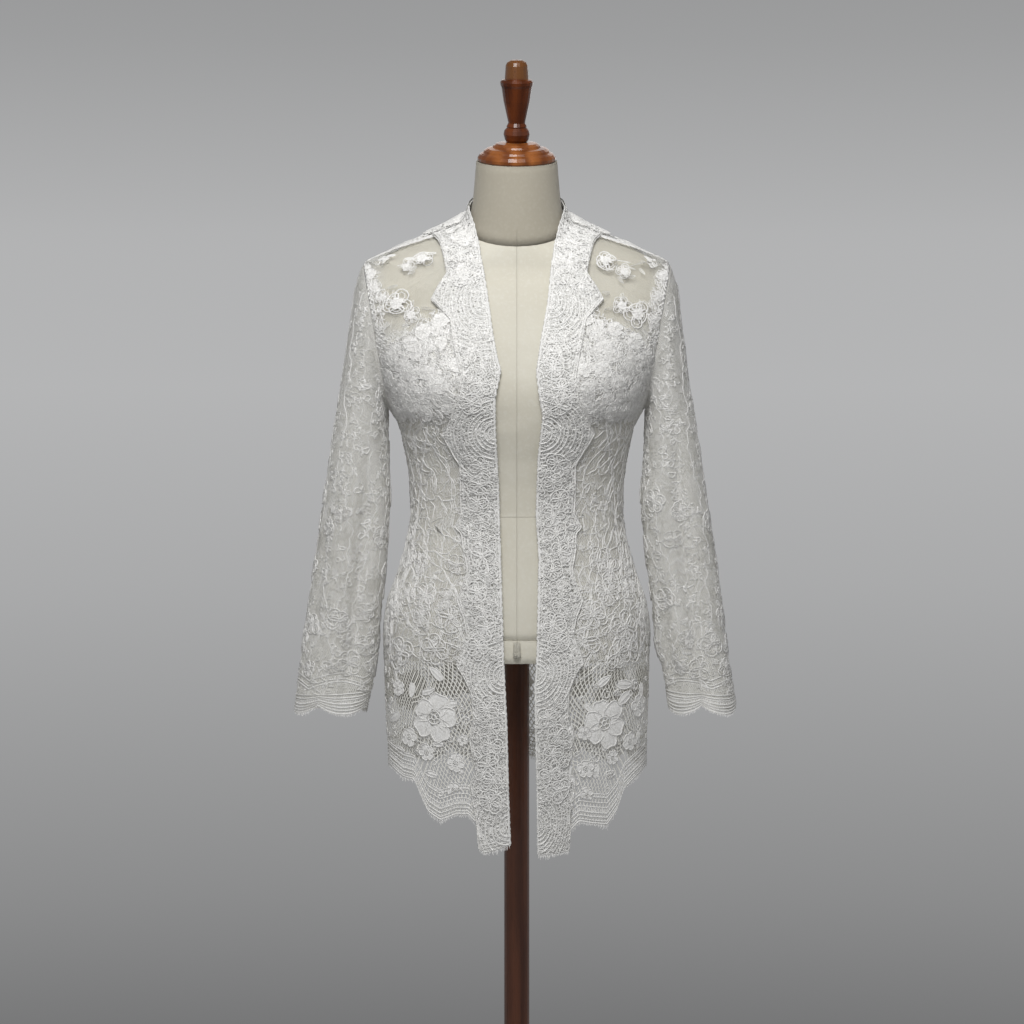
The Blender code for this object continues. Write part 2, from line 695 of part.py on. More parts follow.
def front_grids(side):
    front_grid, side_grid = [], []

    def add(kind, value, point):
        at, border, seam = front_row(side, kind, value)
        length = (point(*at(1.0)) - point(*at(0.0))).length
        gap = 0.55 * SEAM / length if seam < 1.0 else 0.0
        shares, beside = front_shares(border, seam, gap)
        front_grid.append([point(*at(s)) for s in shares])
        if seam < 1.0:
            side_grid.append([point(*at(s)) for s in beside])

    for share in LOWER_ROWS:
        at, border, seam = front_row(side, "flat", 0.6387 + (HIP_Z - 0.6387) * share)
        gap = 0.55 * SEAM / 0.15
        shares, beside = front_shares(border, seam, gap)
        for grid, row in ((front_grid, shares), (side_grid, beside)):
            points = []
            for index, s in enumerate(row):
                turn = at(s)[0]
                foot = cloth(turn, 0.70, side).x
                if grid is front_grid and index == BORDER_COLUMNS:
                    foot = straight(OPENING[side], 0.65) + 0.0405
                if grid is front_grid and index == BORDER_COLUMNS + 1:
                    foot = straight(OPENING[side], 0.65) + 0.0500
                bottom = hem_height(side, foot)
                points.append(cloth(turn, bottom + (HIP_Z - bottom) * share, side))
            grid.append(points)
    for height in MIDDLE_ROWS:
        add("flat", height, lambda t, h: cloth(t, h, side))
    for k in range(1, len(FAN_ROWS) + 1):
        add("fan", k, lambda t, h: cloth(t, h, side))
        if k == len(FRONT_SEAM_FAN) - 1:
            corner = cloth(1.0, fan_height(k + 1), side)
            edge = side_grid[-1]
            nudge = (edge[-1] - edge[0]).normalized() * SEAM
            tip = [p + (corner - p) * 0.8 for p in edge]
            side_grid.append([p + nudge * (1.0 - i / SIDE_COLUMNS) for i, p in enumerate(tip)])
    return front_grid, side_grid


for side in ("left", "right"):
    mirrored = side == "left"
    front_grid, side_grid = front_grids(side)
    front = sheet(f"front_{side}", front_grid, PANEL_WALL, mirrored)
    side_front = sheet(f"side_front_{side}", side_grid, PANEL_WALL, mirrored)
    gaps = []
    for x in FRONT_GAPS:
        gaps.append(gap_place(turn_at(x, 0.72), hem_height(side, x) + HEM_GAP_UP, side))
    for height in LADDER_HEIGHTS:
        inwards = 1.0 - LADDER_IN / 0.13
        gaps.append(gap_place(inwards, height, side, cloth(inwards, height + 0.004)))
    cut(front, gaps, HEM_GAP_SIZE)
    gaps = []
    for turn in SIDE_GAPS:
        gaps.append(gap_place(turn, hem_height(side, cloth(turn, 0.72, side).x) + HEM_GAP_UP, side))
    cut(side_front, gaps, HEM_GAP_SIZE)
    lifted = moved_out(front_grid, PANEL_WALL + BAND_LIFT)
    sheet(f"band_{side}", lifted[:, : BORDER_COLUMNS + 1], BAND_WALL, mirrored)

# Back of the blouse, from side seam to side seam

BACK_LOWER = (0.0, 0.07, 0.16, 0.28, 0.42, 0.56, 0.70, 0.85, 1.0)
BACK_MIDDLE = (0.962, 0.996, 1.028, 1.060, 1.092, 1.124, 1.155, 1.184)
BACK_ARM = 9
BACK_UPPER = (1.3765, 1.386, 1.395, 1.404, 1.410, 1.416, 1.424, 1.433, 1.442)


def back_point(column, height):
    """Point of the back: column 0 at the right side seam, BACK_COLUMNS at the left one."""
    half = BACK_COLUMNS / 2
    across = 1.0 - column / half
    gap = seam_turn(height, 2) if abs(across) == 1.0 else 0.0
    turn = 2.0 - abs(across) + gap
    at = cloth(turn, height, "right" if across >= 0 else "left")
    return Vector((at.x if across >= 0 else -at.x, at.y, at.z))


def back_hem(column):
    phase = (column / BACK_COLUMNS * BACK_SCALLOPS) % 1.0
    lobe = math.sin(math.pi * phase) ** 0.7
    side_drop = 0.012 * abs(1.0 - 2.0 * column / BACK_COLUMNS)
    return BACK_HEM_Z + side_drop - BACK_SCALLOP * (lobe - 0.5)


back_grid = []
for share in BACK_LOWER:
    row = []
    for column in range(BACK_COLUMNS + 1):
        bottom = back_hem(column)
        row.append(back_point(column, bottom + (HIP_Z - bottom) * share))
    back_grid.append(row)
for height in BACK_MIDDLE:
    back_grid.append([back_point(c, height) for c in range(BACK_COLUMNS + 1)])
for k in range(1, BACK_ARM + 1):
    back_grid.append([back_point(c, fan_height(k, BACK_ARM)) for c in range(BACK_COLUMNS + 1)])
for height in BACK_UPPER:
    back_grid.append([back_point(c, height) for c in range(BACK_COLUMNS + 1)])
back = sheet("back", back_grid, PANEL_WALL)
gaps = []
for i in range(BACK_GAPS):
    column = (i + 0.5) * BACK_COLUMNS / BACK_GAPS
    side = "right" if column <= BACK_COLUMNS / 2 else "left"
    turn = 2.0 - abs(1.0 - 2.0 * column / BACK_COLUMNS)
    gaps.append(gap_place(turn, back_hem(column) + HEM_GAP_UP, side))
cut(back, gaps, HEM_GAP_SIZE)

# Border round the back of the neck: it lies on the top rows of the back

COLLAR_ROWS = 6
COLLAR_DROP = 0.45


def collar_grid():
    lifted = moved_out(back_grid, PANEL_WALL + 1.6 * BAND_LIFT)
    top = lifted[-COLLAR_ROWS:]
    below = lifted[-COLLAR_ROWS - 1]
    edge = []
    for c in range(BACK_COLUMNS + 1):
        phase = (c / BACK_COLUMNS * 5) % 1.0
        share = COLLAR_DROP + 0.5 * math.sin(math.pi * phase)
        if c in (0, BACK_COLUMNS):
            share = 0.02
        edge.append(top[0][c] + (below[c] - top[0][c]) * share)
    return [edge] + list(top)


sheet("collar_back", collar_grid(), BAND_WALL)

# Sleeves


def loop_point(angle):
    """Outer edge of the body's wall at the armhole; angle 0 at the shoulder tip, positive to the front."""
    middle = (ARM_BOTTOM_Z + ARM_TOP_Z) / 2
    half = (ARM_TOP_Z - ARM_BOTTOM_Z) / 2
    height = middle + half * math.cos(angle)
    turn = 1.0 if math.sin(angle) >= 0 else 1.0 + 1e-6
    return cloth(turn, height, "right", PANEL_WALL * 0.2)


def side_column(table, height, side):
    return smooth(table[::-1], height, 1 if side == "left" else 2)


def sleeve_grid(side):
    rows = []
    angles = [2 * math.pi * c / SLEEVE_COLUMNS for c in range(SLEEVE_COLUMNS)]
    first = []
    for angle in angles:
        at = loop_point(angle)
        shrink = Vector((0.0, at.y, at.z - 1.2755))
        shrink.normalize()
        first.append(at - shrink * SLEEVE_WALL * 0.6 + Vector((SEAM + 0.0002, 0.0, 0.0)))
    rows.append(first)
    start_y = [p.y for p in first]
    for index, (outer_z, inner_z) in enumerate(SLEEVE_RINGS):
        outer = Vector((side_column(SLEEVE_OUTER, outer_z, side) - SLEEVE_WALL, 0.0, outer_z))
        inner = Vector((side_column(SLEEVE_INNER, inner_z, side) + SLEEVE_WALL, 0.0, inner_z))
        middle = (outer + inner) / 2
        along = (outer - inner) / 2
        deep = smooth(SLEEVE_DEPTH[::-1], middle.z, 1)
        shift = smooth(SLEEVE_DEPTH[::-1], middle.z, 2)
        settle = min(1.0, (index + 1) / 4)
        row = []
        for c, angle in enumerate(angles):
            lean_out = math.degrees((angle + math.pi) % (2 * math.pi) - math.pi)
            fold = 0.0
            for at_angle, spread, depth, top, bottom in SLEEVE_FOLDS[side]:
                away = (lean_out - at_angle + 180.0) % 360.0 - 180.0
                here = middle.z + along.z * math.cos(angle)
                ramp = min(1.0, max(0.0, (top - here) / 0.10)) * min(1.0, max(0.3, (here - bottom) / 0.06))
                fold += depth * ramp * math.exp(-(away / spread) ** 2)
            size = 1.0 - fold / max(along.length, deep) * 1.15
            y = math.sin(angle) * -deep * size + shift
            y = start_y[c] * (1.0 - settle) + y * settle
            at = middle + along * math.cos(angle) * size
            row.append(Vector((at.x, y, at.z)))
        rows.append(row)
    notch = CUFF_NOTCH[side]
    last = rows[-1]
    for c, angle in enumerate(angles):
        phase = ((math.degrees(angle) - notch) / 360.0 * CUFF_SCALLOPS) % 1.0
        drop = CUFF_SCALLOP * (math.sin(math.pi * phase) ** 0.8 - 0.55)
        slope = (last[c] - rows[-2][c]).normalized()
        last[c] = last[c] + slope * drop
    # Columns run backwards, so that the faces look outwards
    return [row[::-1] for row in rows]


# Each sleeve is two tubes: its head, which leans over the shoulder, and the arm below it
for side in ("left", "right"):
    grid = sleeve_grid(side)
    split = grid[SLEEVE_HEAD_ROWS]
    after = grid[SLEEVE_HEAD_ROWS + 1]
    arm_top = [p + (q - p).normalized() * SLEEVE_SPLIT_GAP for p, q in zip(split, after)]
    sheet(f"sleeve_{side}_head", grid[: SLEEVE_HEAD_ROWS + 1], SLEEVE_WALL, side == "left", closed=True)
    sheet(f"sleeve_{side}", [arm_top, *grid[SLEEVE_HEAD_ROWS + 1 :]], SLEEVE_WALL, side == "left", closed=True)
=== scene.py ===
# %% [markdown]
# # A white lace blouse on a dress form
#
# A kebaya is a long open blouse of lace. Fine net carries raised threads and flowers, and a scalloped
# border of denser lace runs down both front edges. It is worn here on a linen dress form with a turned
# wooden cap. The solids of the form stay as they are and get their finishes. Each piece of cloth is drawn
# as a flat pattern first, then laid on the worn shape, which is how the lace keeps its true scale.

import math

import bpy
import numpy as np
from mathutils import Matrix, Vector, geometry
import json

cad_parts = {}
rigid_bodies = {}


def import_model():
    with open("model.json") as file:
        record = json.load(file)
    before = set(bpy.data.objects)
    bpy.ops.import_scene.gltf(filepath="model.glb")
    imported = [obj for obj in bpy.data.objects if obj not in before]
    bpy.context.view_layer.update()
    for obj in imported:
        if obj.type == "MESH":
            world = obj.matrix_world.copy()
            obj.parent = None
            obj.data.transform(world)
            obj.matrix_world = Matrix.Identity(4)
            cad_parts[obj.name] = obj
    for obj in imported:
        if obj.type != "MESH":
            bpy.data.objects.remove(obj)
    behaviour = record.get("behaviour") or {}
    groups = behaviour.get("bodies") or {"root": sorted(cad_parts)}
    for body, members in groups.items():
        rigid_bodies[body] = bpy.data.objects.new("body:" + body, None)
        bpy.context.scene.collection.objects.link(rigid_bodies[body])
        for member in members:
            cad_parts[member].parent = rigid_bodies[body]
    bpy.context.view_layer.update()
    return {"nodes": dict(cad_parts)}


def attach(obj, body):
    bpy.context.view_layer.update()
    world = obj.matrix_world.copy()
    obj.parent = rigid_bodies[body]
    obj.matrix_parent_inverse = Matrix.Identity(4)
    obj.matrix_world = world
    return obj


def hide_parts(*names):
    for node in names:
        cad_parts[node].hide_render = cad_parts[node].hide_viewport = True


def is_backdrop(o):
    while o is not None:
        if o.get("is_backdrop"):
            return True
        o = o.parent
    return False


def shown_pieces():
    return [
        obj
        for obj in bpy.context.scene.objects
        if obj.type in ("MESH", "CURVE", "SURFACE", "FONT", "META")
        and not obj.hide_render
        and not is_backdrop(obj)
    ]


for old in list(bpy.data.objects):
    bpy.data.objects.remove(old, do_unlink=True)

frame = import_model()
print("solids:", ", ".join(sorted(frame["nodes"])))

# %% [markdown]
# ## The figure under the cloth
#
# The form is a stack of rings: half an oval in front and half a deeper one behind, whose sizes follow short
# tables. A subdivided box would need sculpting to get there. Tables can be measured on the real thing, and
# the cloth can then be set off from the same rings by its ease.

# %% Tables of the figure, in metres
PANEL_WALL, BAND_LIFT, SEAM, SLEEVE_WALL = 0.0013, 0.0009, 0.0005, 0.0013
ARM_BOTTOM_Z, ARM_TOP_Z, ARM_BOTTOM_X, ARM_TOP_X, ARM_HALF_DEPTH = 1.184, 1.367, 0.156, 0.190, 0.058
ARM_MIDDLE, ARM_HALF = (ARM_BOTTOM_Z + ARM_TOP_Z) / 2, (ARM_TOP_Z - ARM_BOTTOM_Z) / 2
FORM_BOTTOM_Z, WAIST_SEAM_Z, HIP_Z, HEM_LOW_Z = 0.871, 1.0499, 0.930, 0.6387

LOWER_WIDTH = (  # height, half width
    (0.600, 0.1560), (0.740, 0.1575), (0.800, 0.1605), (0.870, 0.1625), (0.900, 0.1630), (0.935, 0.1590),
    (0.970, 0.1470), (1.010, 0.1355), (1.055, 0.1290), (1.090, 0.1300), (1.120, 0.1340), (1.150, 0.1405),
    (1.170, 0.1470), (1.184, 0.1560),
)
UPPER_WIDTH = (  # height, half width of the shoulder ridge and neck
    (1.3670, 0.1900), (1.3765, 0.1700), (1.3860, 0.1486), (1.3950, 0.1235), (1.4040, 0.0978),
    (1.4100, 0.0810), (1.4160, 0.0675), (1.4300, 0.0590), (1.4470, 0.0556), (1.4700, 0.0535), (1.4970, 0.0513),
)
DEPTHS = (  # height, depth in front, depth behind, tilt of the ring, squareness
    (0.600, 0.0980, 0.1100, 0.000, 2.20), (0.740, 0.1000, 0.1120, 0.000, 2.20),
    (0.870, 0.1010, 0.1150, 0.000, 2.20), (0.930, 0.0985, 0.1120, 0.000, 2.20),
    (1.000, 0.0910, 0.0950, 0.000, 2.20), (1.055, 0.0880, 0.0840, 0.000, 2.20),
    (1.110, 0.0960, 0.0860, 0.000, 2.25), (1.160, 0.1090, 0.0920, 0.000, 2.35),
    (1.205, 0.1140, 0.0980, 0.000, 2.40), (1.250, 0.1060, 0.1030, 0.000, 2.35),
    (1.300, 0.0890, 0.1030, 0.000, 2.25), (1.340, 0.0745, 0.0955, 0.025, 2.20),
    (1.367, 0.0650, 0.0870, 0.080, 2.15), (1.386, 0.0605, 0.0790, 0.245, 2.10),
    (1.404, 0.0580, 0.0690, 0.414, 2.05), (1.416, 0.0570, 0.0610, 0.535, 2.00),
    (1.430, 0.0545, 0.0565, 0.500, 2.00), (1.447, 0.0525, 0.0540, 0.420, 2.00),
    (1.470, 0.0515, 0.0525, 0.330, 2.00), (1.497, 0.0510, 0.0515, 0.240, 2.00),
)
EASE = (  # height, space between form and cloth
    (0.600, 0.0040), (1.100, 0.0040), (1.200, 0.0034), (1.300, 0.0026), (1.345, 0.0024), (1.367, 0.0018),
    (1.400, 0.0018), (1.416, 0.0020), (1.450, 0.0016),
)
BUST = (0.074, 1.205, 0.046, 0.052, 0.0080)  # across, height, spread across, spread up, swell


# %% Curves through the tables
def curve(table, column=1):
    """A smooth function through one column of a table whose first column rises."""
    xs, ys = np.array([(row[0], row[column]) for row in table]).T
    rise = np.diff(ys) / np.diff(xs)
    before, after = rise[:-1], rise[1:]
    both = np.where(before + after == 0, 1.0, before + after)
    inner = np.where(before * after > 0, 2 * before * after / both, 0.0)
    slope = np.concatenate([rise[:1], inner, rise[-1:]])

    def value(at):
        at = np.clip(at, xs[0], xs[-1])
        i = np.clip(np.searchsorted(xs, at) - 1, 0, len(xs) - 2)
        width = xs[i + 1] - xs[i]
        k = (at - xs[i]) / width
        return (
            (2 * k**3 - 3 * k**2 + 1) * ys[i] + (k**3 - 2 * k**2 + k) * width * slope[i]
            + (3 * k**2 - 2 * k**3) * ys[i + 1] + (k**3 - k**2) * width * slope[i + 1]
        )

    return value


def straight(table, at, column=1):
    return np.interp(at, [row[0] for row in table], [row[column] for row in table])


LOWER, UPPER = curve(LOWER_WIDTH), curve(UPPER_WIDTH)
DEPTH_FRONT, DEPTH_BACK, TILT, SQUARE = (curve(DEPTHS, column) for column in (1, 2, 3, 4))


def body(turn, height):
    """Points of the figure: turn 0 in the middle of the front, 1 at the side, 2 in the middle of the back."""
    turn, height = np.broadcast_arrays(np.asarray(turn, float), np.asarray(height, float))
    front = turn <= 1.0
    depth = np.where(front, DEPTH_FRONT(height), DEPTH_BACK(height))
    square, tilt = SQUARE(height), TILT(height)
    share = np.clip((height - ARM_BOTTOM_Z) / (ARM_TOP_Z - ARM_BOTTOM_Z), 0, 1)
    edge = ARM_BOTTOM_X + (ARM_TOP_X - ARM_BOTTOM_X) * share
    edge = np.where(height >= ARM_TOP_Z, UPPER(height), np.where(height <= ARM_BOTTOM_Z, LOWER(height), edge))
    cut = ARM_HALF_DEPTH * np.sqrt(np.clip(1 - ((height - ARM_MIDDLE) / ARM_HALF) ** 2, 0, None))
    full = edge / (1 - (cut / depth) ** square) ** (1 / square)
    angle = np.arcsin(np.minimum(1.0, (edge / full) ** (square / 2))) * np.where(front, turn, 2 - turn)
    x = full * np.clip(np.sin(angle), 0, None) ** (2 / square)
    y = depth * np.clip(np.cos(angle), 0, None) ** (2 / square)
    swell = BUST[4] * np.exp(-((x - BUST[0]) / BUST[2]) ** 2 - ((height - BUST[1]) / BUST[3]) ** 2)
    y = np.where(front, -(y + swell * np.minimum(1.0, y / 0.05)), y)
    return np.stack([x, y, height + tilt * y], -1)


def unit(vectors):
    return vectors / np.maximum(np.linalg.norm(vectors, axis=-1, keepdims=True), 1e-12)


def body_normal(turn, height):
    turn, height = np.broadcast_arrays(np.asarray(turn, float), np.asarray(height, float))
    t0, t1 = np.maximum(turn - 0.004, 0), np.minimum(turn + 0.004, 2)
    t1 = np.where((turn < 1) & (t1 > 1), 1.0, t1)
    t0 = np.where((turn > 1) & (t0 < 1), 1.0, t0)
    h0, h1 = height - 0.001, height + 0.001
    for stop in (ARM_BOTTOM_Z, ARM_TOP_Z):
        h0 = np.where((h0 < stop) & (stop <= height), stop, h0)
        h1 = np.where((height <= stop) & (stop < h1), stop, h1)
    h0 = np.where(h1 - h0 < 1e-6, height - 0.001, h0)
    normal = np.cross(body(t1, height) - body(t0, height), body(turn, h1) - body(turn, h0))
    flat = np.linalg.norm(normal, axis=-1, keepdims=True) < 1e-13
    return np.where(flat, np.array([1.0, 0.0, 0.0]), unit(normal))


def cloth(turn, height, side="right", lift=0.0):
    """Points of the inner face of the cloth. Both sides are worked out on +X, and the left is mirrored last."""
    turn, height = np.broadcast_arrays(np.asarray(turn, float), np.asarray(height, float))
    share = np.clip((0.90 - height) / 0.20, 0, 1)
    wave = 0.0028 * share**2 * (3 - 2 * share) * np.cos(turn * 7.6 + (0.6 if side == "left" else 0.0))
    out = straight(EASE, height) + wave + lift
    return body(turn, height) + body_normal(turn, height) * out[..., None]


waist = body([0, 1, 2], 1.055)
print("waist, half width %.0f mm, depth %.0f mm" % (waist[1, 0] * 1000, (waist[2, 1] - waist[0, 1]) * 1000))

# %% [markdown]
# ## Flat patterns
#
# Lace is designed flat. A pattern here is a grid of points on the worn cloth with two plain coordinates in
# metres: s across and t up. A motif drawn with s and t lands on the cloth, bent with it, at its true size.
# Projecting the motifs from the front would stretch them at the sides, and wrapping each one with a modifier
# would be slow for thousands of threads.


# %% Pattern
class Pattern:
    def __init__(self, points, closed=False):
        self.points, self.closed = points, closed
        wrap = (lambda p: np.concatenate([p[:, -1:], p, p[:, :1]], 1)) if closed else (lambda p: p)
        across = np.gradient(wrap(points), axis=1)
        across = across[:, 1:-1] if closed else across
        self.normals = unit(np.cross(across, np.gradient(points, axis=0)))
        ring = np.concatenate([points, points[:, :1]], 1) if closed else points
        self.width = np.linalg.norm(np.diff(ring, axis=1), axis=2).sum(1)
        step = np.linalg.norm(np.diff(points, axis=0), axis=2).mean(1)
        self.up = np.concatenate([[0.0], np.cumsum(step)])
        self.cells = points.shape[1] if closed else points.shape[1] - 1
        self.flat_s = np.linspace(0, 1, self.cells + 1)[None, : points.shape[1]] * self.width[:, None]

    def width_at(self, t):
        return np.interp(t, self.up, self.width)

    def place(self, s, t, lift=0.0):
        """Points of the cloth at s and t, moved out by lift."""
        row = np.interp(t, self.up, np.arange(len(self.up)))
        column = np.asarray(s) / self.width_at(t) * self.cells
        last = self.points.shape[1]
        column = column % self.cells if self.closed else np.clip(column, 0, self.cells)
        r0 = np.minimum(row.astype(int), len(self.up) - 2)
        c0 = np.minimum(column.astype(int), self.cells - 1)
        c1 = (c0 + 1) % last
        a, b = (row - r0)[..., None], (column - c0)[..., None]

        def mixed(grid):
            low = grid[r0, c0] * (1 - b) + grid[r0, c1] * b
            return low * (1 - a) + (grid[r0 + 1, c0] * (1 - b) + grid[r0 + 1, c1] * b) * a

        return mixed(self.points) + unit(mixed(self.normals)) * np.asarray(lift)[..., None]

    def grain(self, s, t):
        """The s and t that a metre of cloth takes up there, so that a motif keeps its shape where rows fan out."""
        t = float(np.clip(t, 0.003, self.up[-1] - 0.005))
        s = s if self.closed else float(np.clip(s, 0.003, max(0.0031, self.width_at(t) - 0.005)))
        here, beside, above = self.place(np.array([s, s + 0.001, s]), np.array([t, t, t + 0.001])) * 1000
        across, upward = beside - here, above - here
        first = unit(across)
        second = unit(upward - first * (upward @ first))
        stretch = np.array([[across @ first, upward @ first], [0.0, upward @ second]])
        back = np.linalg.inv(stretch) if min(stretch[0, 0], stretch[1, 1]) > 0.3 else np.eye(2)
        return back, first, second

    def spread(self, x, y, s, t, large):
        """The s and t of points that lie x and y from a spot. A large drawing is fitted point by point."""
        ((a, b), (c, d)), first, second = self.grain(s, t)
        if not large:
            return s + a * x + b * y, t + c * x + d * y
        here = self.place(np.array([s]), np.array([t]))[0]
        flat = np.stack([first, second], 1)
        reach = np.hypot(x, y).max() * 1.3 + 0.005
        rows, columns = np.nonzero(np.linalg.norm(self.points - here, axis=2) < reach)
        seen = (self.points[rows, columns] - here) @ flat
        nearest = ((seen[None, :, 0] - x[:, None]) ** 2 + (seen[None, :, 1] - y[:, None]) ** 2).argmin(1)
        over, up = self.flat_s[rows, columns][nearest], self.up[rows][nearest]
        small = 0.0005
        for _ in range(4):
            at = (self.place(over, up) - here) @ flat
            beside = (self.place(over + small, up) - here) @ flat - at
            above = (self.place(over, up + small) - here) @ flat - at
            rest = np.stack([x, y], -1) - at
            area = beside[:, 0] * above[:, 1] - beside[:, 1] * above[:, 0]
            area = np.where(np.abs(area) < small**2 * 0.05, np.inf, area)
            move_s = (rest[:, 0] * above[:, 1] - rest[:, 1] * above[:, 0]) / area * small
            move_t = (beside[:, 0] * rest[:, 1] - beside[:, 1] * rest[:, 0]) / area * small
            over, up = over + np.clip(move_s, -0.006, 0.006), up + np.clip(move_t, -0.006, 0.006)
        missed = np.hypot(*(np.stack([x, y], -1) - (self.place(over, up) - here) @ flat).T) > 0.0010
        return over, np.where(missed, -1.0, up)

    def find(self, x, z, front=True):
        """The s and t of the point seen at x and z from the front."""
        away = (self.points[:, :, 0] - x) ** 2 + (self.points[:, :, 2] - z) ** 2
        away = away + (10.0 * (self.normals[:, :, 1] > 0.1) if front else 0.0)
        row, column = np.unravel_index(np.argmin(away), away.shape)
        return float(self.flat_s[row, column]), float(self.up[row])


# %% [markdown]
# ## Fronts, borders and back
#
# Each front runs from the opening to the side seam, and above the bust its rows fan out round the shoulder.
# The border follows the opening with large points on its inner side. The hem of each front drops towards the
# border in three scallops. The rows of the net follow the hem, so that its edge is cut as the real one is.

# %% Tables of the cut
OPENING = {  # height, distance from the middle
    "left": (
        (0.640, 0.0077), (0.694, 0.0099), (0.793, 0.0123), (0.870, 0.0160), (0.948, 0.0184),
        (1.039, 0.0210), (1.093, 0.0224), (1.152, 0.0257), (1.196, 0.0269), (1.230, 0.0198),
        (1.247, 0.0245), (1.275, 0.0296), (1.330, 0.0372), (1.381, 0.0447), (1.404, 0.0460),
        (1.416, 0.0478), (1.4290, 0.0515), (1.4360, 0.0555),
    ),
    "right": (
        (0.640, 0.0253), (0.720, 0.0244), (0.785, 0.0226), (0.843, 0.0217), (0.882, 0.0244),
        (1.002, 0.0270), (1.053, 0.0234), (1.126, 0.0257), (1.178, 0.0318), (1.199, 0.0276),
        (1.228, 0.0240), (1.273, 0.0306), (1.312, 0.0379), (1.381, 0.0444), (1.404, 0.0460),
        (1.416, 0.0478), (1.4290, 0.0515), (1.4360, 0.0555),
    ),
}
BORDER_WIDTH = (  # height of the scalloped edge, width of the border
    (0.6387, 0.0400), (0.6765, 0.0415), (0.6962, 0.0445), (0.7196, 0.0470), (0.7343, 0.0395),
    (0.7503, 0.0430), (0.7761, 0.0470), (0.7994, 0.0405), (0.8338, 0.0425), (0.8520, 0.0500),
    (0.8682, 0.0590), (0.8879, 0.0515), (0.9051, 0.0450), (0.9260, 0.0480), (0.9481, 0.0560),
    (0.9660, 0.0470), (0.9850, 0.0420), (1.0120, 0.0465), (1.0292, 0.0480), (1.0366, 0.0560),
    (1.0540, 0.0475), (1.0821, 0.0480), (1.1153, 0.0465), (1.1276, 0.0530), (1.1558, 0.0660),
    (1.1700, 0.0560), (1.1927, 0.0480), (1.2700, 0.0480), (1.2923, 0.0475), (1.3180, 0.0655),
    (1.3340, 0.0560), (1.3520, 0.0430), (1.3805, 0.0470), (1.3970, 0.0490), (1.4125, 0.0475),
    (1.4275, 0.0450), (1.4420, 0.0420),
)
HEM = {  # distance from the middle, height
    "left": (
        (0.000, 0.6500), (0.010, 0.6490), (0.030, 0.6410), (0.041, 0.6387), (0.0500, 0.6458),
        (0.0520, 0.6765), (0.059, 0.6849), (0.074, 0.6842), (0.094, 0.6753), (0.109, 0.6848),
        (0.117, 0.7013), (0.126, 0.7237), (0.140, 0.7260), (0.150, 0.7330), (0.170, 0.7450),
    ),
    "right": (
        (0.000, 0.6450), (0.027, 0.6367), (0.045, 0.6380), (0.0640, 0.6405), (0.0660, 0.6649),
        (0.076, 0.6754), (0.090, 0.6720), (0.111, 0.6685), (0.124, 0.6866), (0.132, 0.7114),
        (0.143, 0.7218), (0.159, 0.7350), (0.170, 0.7500),
    ),
}
FAN_INNER = (
    1.184, 1.206, 1.230, 1.255, 1.279, 1.302, 1.323, 1.355, 1.369, 1.380, 1.391, 1.401, 1.411, 1.4205,
    1.4290, 1.4360, 1.442,
)
FRONT_SEAM = (  # height, turn of the seam between front and side front
    (0.600, 0.700), (0.740, 0.710), (0.850, 0.735), (0.950, 0.750), (1.030, 0.750), (1.075, 0.720),
    (1.120, 0.620), (1.155, 0.520), (1.184, 0.450),
)
FRONT_SEAM_FAN = (0.450, 0.465, 0.505, 0.560, 0.640, 0.735, 0.835, 0.925, 1.0)
BACK_HEM_Z, BACK_SCALLOP, BACK_SCALLOPS = 0.728, 0.016, 6
FAN_LAST = len(FAN_INNER) - 1
OVERLAP = 0.009


def front_line(side, fan, value):
    """A row of a front as a line of (turn, height), with the shares where the border and the seam lie."""
    if fan:
        inner = float(np.interp(value, range(FAN_LAST + 1), FAN_INNER))
        outer = ARM_MIDDLE - ARM_HALF * math.cos(math.pi * value / FAN_LAST)
        seam = float(np.interp(value, range(9), FRONT_SEAM_FAN))
    else:
        inner = outer = value
    turns = np.linspace(0, 1, 241)
    first = float(np.interp(straight(OPENING[side], inner), cloth(turns, inner)[:, 0], turns))
    first = first if inner < 1.4365 else first + (0.999 - first) * (inner - 1.4365) / 0.0055
    if not fan:
        seam = (straight(FRONT_SEAM, value) - first) / (1 - first)
    shares = np.linspace(0, 1, 161)
    line = cloth(first + (1 - first) * shares, inner + (outer - inner) * shares)
    past = line[:, 0] - line[0, 0] - straight(BORDER_WIDTH, line[:, 2] if fan else inner)
    border = float(shares[np.argmax(past > 0)]) if (past > 0).any() else 1.0
    if 0 < border < 1:
        i = int(np.argmax(past > 0))
        border = float(shares[i] - (shares[1] - shares[0]) * past[i] / (past[i] - past[i - 1]))
    length = np.linalg.norm(np.diff(line, axis=0), axis=1).sum()
    return first, inner, outer, border, seam, length


def front_points(side, fan, value, columns, part):
    """Points of one row, either of the border or of the net beside it, with the seam's share of that row."""
    first, inner, outer, border, seam, length = front_line(side, fan, value)
    lap = min(OVERLAP / length, border)
    low, high = (0.0, border) if part == "border" else (border - lap, 1.0)
    shares = np.linspace(low, max(high, low + 1e-4), columns)
    turn, height = first + (1 - first) * shares, inner + (outer - inner) * shares
    return turn, height, (seam - low) / max(high - low, 1e-4)


FLAT_ROWS = np.linspace(HEM_LOW_Z, ARM_BOTTOM_Z, 150)
FAN_ROWS = np.linspace(0, FAN_LAST, 97)[1:]


